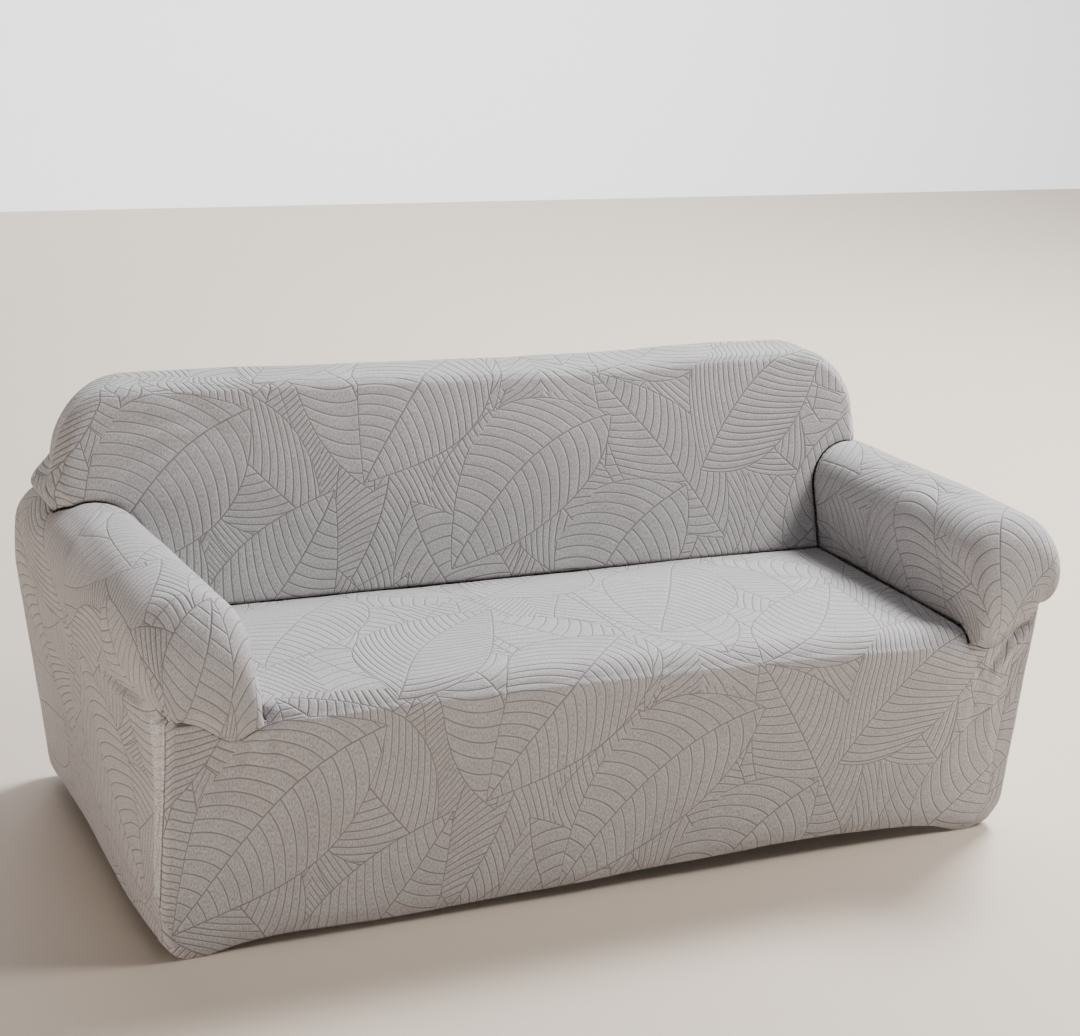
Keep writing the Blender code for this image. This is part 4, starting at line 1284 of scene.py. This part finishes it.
def armPanel(side):
    front, straight, back, turned = armRoll(side)
    roll = np.concatenate([front, straight])
    rear = np.concatenate([back, turned])
    below, flapRows, sideStart = armSkirt(side, front, straight, back, turned)

    # flat places: across follows the roll's section, along its length
    girth = pathLength(stack(*rollSection(side, rollShares(side, 0.0, 1.0), armCut["flatY"]), 0.0))
    capLength = pathLength(front)
    v = np.concatenate([front[-1:, :, 1] - capLength[-1:] + capLength, straight[..., 1]])
    flatRoll = np.stack(np.broadcast_arrays(girth[None, :], v), axis=-1)
    rearLength = pathLength(rear[:, -1])[:, None] + rear[0, -1, 1]
    rearV = np.maximum(rear[..., 1], rearLength)
    flatRear = np.stack(np.broadcast_arrays(girth[None, -rear.shape[1]:], rearV), axis=-1)
    topLength = pathLength(below[:, 0])
    topLength = topLength - topLength[flapRows] + sideStart
    down = girth[-1] + below[:, :1, 2] - below[..., 2]
    flatBelow = np.stack(np.broadcast_arrays(down, topLength[:, None]), axis=-1)
    spin = np.array([sign[side], 1.0])
    grids = [(roll, flatRoll * spin), (rear, flatRear * spin), (below, flatBelow * spin)]
    makePanel("cloth_arm_" + side, grids, armFolds[side])


armPanel("left")
armPanel("right")

backFolds = [
    fold(
        0.013, 0.0035,
        (-0.519, 0.238, 0.720), (-0.630, 0.249, 0.742), (-0.742, 0.252, 0.742), (-0.800, 0.245, 0.725),
    ),
    fold(0.014, 0.0030, (-0.540, 0.236, 0.715), (-0.650, 0.231, 0.700), (-0.770, 0.218, 0.668)),
    fold(0.014, 0.0025, (-0.550, 0.230, 0.703), (-0.642, 0.211, 0.660), (-0.721, 0.194, 0.615)),
    fold(0.012, 0.0025, (-0.560, 0.246, 0.738), (-0.610, 0.262, 0.770), (-0.680, 0.285, 0.796)),
    fold(
        0.008, 0.0040,
        (-0.870, 0.228, 0.628), (-0.853, 0.207, 0.617), (-0.800, 0.199, 0.612), (-0.738, 0.188, 0.598),
    ),
    fold(0.016, 0.0025, (0.620, 0.190, 0.600), (0.700, 0.215, 0.660), (0.760, 0.240, 0.710)),
]


def backFace(share):
    # from the crease up to the arch, each row drawn to the rolls' inner sides
    edge = frontEdgeLoop(share, edgeLoops["end"][0], edgeLoops["top"][0], 0.0)
    crease = stack(seatX(np.clip(creaseSpread(share), -1, 1)), backCut["creaseY"], backCut["creaseZ"])
    feet = []
    for side in sign:
        last = edgeFootShare(side, backCut["footRound"])
        shares = np.concatenate([innerShares(), steps(12, innerShares()[-1], last)[1:]])
        feet.append(rollStraight(side, shares, 1.0))
        feet[-1][0] = (seatEdgeX(side), backCut["creaseY"], backCut["creaseZ"])
    up = steps(len(feet[0]) - 1)
    edge = fitToFeet(edge[None], share, feet[0][-1:, None], feet[1][-1:, None])[0]
    face = lerp(crease, edge, up[:, None, None])
    face = fitToFeet(face, share, feet[0][:, None, :], feet[1][:, None, :], backCut["faceReach"])
    swollen = faceY(face[..., 0], face[..., 2])
    near = nearFoot(share, backCut["swellReach"]) + nearFoot(1 - share, backCut["swellReach"])
    face[..., 1] = lerp(swollen, face[..., 1], near)
    return face


def backBand(share):
    # round the face's edge, over the top and the ends, and round to the rear
    band = []
    last = len(edgeLoops["end"]) - 1
    for station in steps(last * 4, 0.0, last)[1:]:
        row = [np.interp(station, range(last + 1), insets) for insets in edgeLoops.values()]
        foot = [rollStraight(side, edgeFootShare(side, row[0]), 1.0) for side in sign]
        band.append(fitToFeet(frontEdgeLoop(share, *row)[None], share, *foot)[0])
    for along in besides[1:]:
        foot = [rollBesideBack(side, 0.0, along) for side in sign]
        band.append(fitToFeet(bandLoop(share, along)[None], share, *foot)[0])
    for turn in turns[1:]:
        foot = [rollRearTurn(side, 0.0, turn) for side in sign]
        band.append(fitToFeet(rearTurnLoop(share, turn)[None], share, *foot)[0])
    return np.stack(band)


def flatBack(face, band):
    # the face as it stands, and the band fanned out from the face's edge
    climb = np.hypot(1.0, backCut["slope"])
    flatFace = np.stack([face[..., 0], (face[..., 2] - backCut["creaseZ"]) * climb], axis=-1)
    rim = flatFace[-1]
    onward = np.gradient(rim, axis=0)
    out = np.stack([-onward[:, 1], onward[:, 0]], axis=-1)
    out = out / np.linalg.norm(out, axis=1)[:, None]
    far = pathLength(np.concatenate([face[-1:], band]))[1:]
    return np.concatenate([flatFace, rim + out * far[..., None]])


def backPanel():
    share = backShares()
    face = backFace(share)
    band = backBand(share)
    front = raiseLip(np.concatenate([face, band]), share)
    grids = [(front, flatBack(face, band))]
    makePanel("cloth_back_panel", grids, backFolds)


backPanel()


def rearPanel():
    share = backShares()
    feet = [rollRearTurn(side, 0.0, 1.0) for side in sign]
    top = fitToFeet(rearTurnLoop(share, 1.0)[None], share, *feet)[0]
    grid = rearGrid(top, creaseSpread(share))
    clear = nearFoot(share, backCut["footClearReach"]) - nearFoot(1 - share, backCut["footClearReach"])
    grid[0] += stack(backCut["footClear"] * clear, 0.0, 0.0)
    flat = np.stack([-grid[..., 0], grid[..., 2]], axis=-1)
    makePanel("cloth_rear_panel", [(grid, flat)], [])


rearPanel()

# The camera stands in front of the left arm and looks down along the sofa.
view = {
    "place": (-2.0126, -3.3890, 1.9213),
    "turn": -28.076,  # this and the next two in degrees
    "down": 17.383,
    "roll": 4.024,
    "lens": 80.34,
    "sensor": 36.0,
}


def addCamera():
    turn, down, roll = (radians(view[key]) for key in ("turn", "down", "roll"))
    back = Vector((sin(turn) * cos(down), -cos(turn) * cos(down), sin(down)))
    right = (-back).cross(Vector((0, 0, 1))).normalized()
    up = right.cross(-back)
    tiltedRight = right * cos(roll) + up * sin(roll)
    tiltedUp = up * cos(roll) - right * sin(roll)
    camera = bpy.data.objects.new("camera", bpy.data.cameras.new("camera"))
    bpy.context.scene.collection.objects.link(camera)
    axes = Matrix((tiltedRight, tiltedUp, back)).transposed()
    spot = Vector(view["place"]) - Vector(cloth["middle"])
    camera.matrix_world = Matrix.Translation(spot) @ axes.to_4x4()
    camera.data.sensor_width = view["sensor"]
    camera.data.lens = view["lens"]
    bpy.context.scene.camera = camera


addCamera()

# A plain pale floor and soft lamps.
studio = {
    "planeSize": 40.0,
    "planeRoughness": 0.65,
    "aim": (0.0, 0.0, 0.35),
    "floor": (0.72, 0.62, 0.51, 1.0),
    "backdrop": (0.93, 0.94, 1.0, 1.0),
    "backdropPlace": (18.5, 6.0, 0.0),
    "backdropGlow": 1.15,
    "sky": (0.90, 0.93, 1.0, 1.0),
    "skyStrength": 0.10,
}
lamps = {
    "key": {"place": (3.0, -1.3, 3.2), "size": 1.1, "power": 130.0, "colour": (1.0, 0.96, 0.92)},
    "rear": {"place": (4.2, 2.1, 5.4), "size": 2.0, "power": 870.0, "colour": (0.97, 0.985, 1.0)},
    "fill": {"place": (-3.6, -0.9, 0.55), "size": 0.9, "power": 42.0, "colour": (1.0, 0.86, 0.74)},
    "front": {"place": (-0.5, -4.5, 1.6), "size": 2.0, "power": 21.0, "colour": (1.0, 0.94, 0.93)},
}


def stagePlane(name, spot, turn, colour, glow):
    size = studio["planeSize"]
    bpy.ops.mesh.primitive_plane_add(size=size, location=spot, rotation=(turn, 0.0, 0.0))
    plane = bpy.context.active_object
    plane.name = name
    finish = bpy.data.materials.new("pale_" + name)
    finish.use_nodes = True
    shader = finish.node_tree.nodes["Principled BSDF"]
    shader.inputs["Base Color"].default_value = colour
    shader.inputs["Roughness"].default_value = studio["planeRoughness"]
    shader.inputs["Emission Color"].default_value = colour
    shader.inputs["Emission Strength"].default_value = glow
    plane.data.materials.append(finish)


def addStage():
    stagePlane("floor", (0.0, 0.0, 0.0), 0.0, studio["floor"], 0.0)
    glow = studio["backdropGlow"]
    stagePlane("backdrop", studio["backdropPlace"], pi / 2, studio["backdrop"], glow)
    world = bpy.data.worlds.new("studio")
    world.use_nodes = True
    sky = world.node_tree.nodes["Background"]
    sky.inputs["Color"].default_value = studio["sky"]
    sky.inputs["Strength"].default_value = studio["skyStrength"]
    bpy.context.scene.world = world
    for name, lamp in lamps.items():
        light = bpy.data.lights.new(name, "AREA")
        light.size = lamp["size"]
        light.energy = lamp["power"]
        light.color = lamp["colour"]
        holder = bpy.data.objects.new(name, light)
        bpy.context.scene.collection.objects.link(holder)
        holder.location = lamp["place"]
        aim = Vector(studio["aim"]) - Vector(lamp["place"])
        holder.rotation_euler = aim.to_track_quat("-Z", "Y").to_euler()


addStage()
print("stage ready")
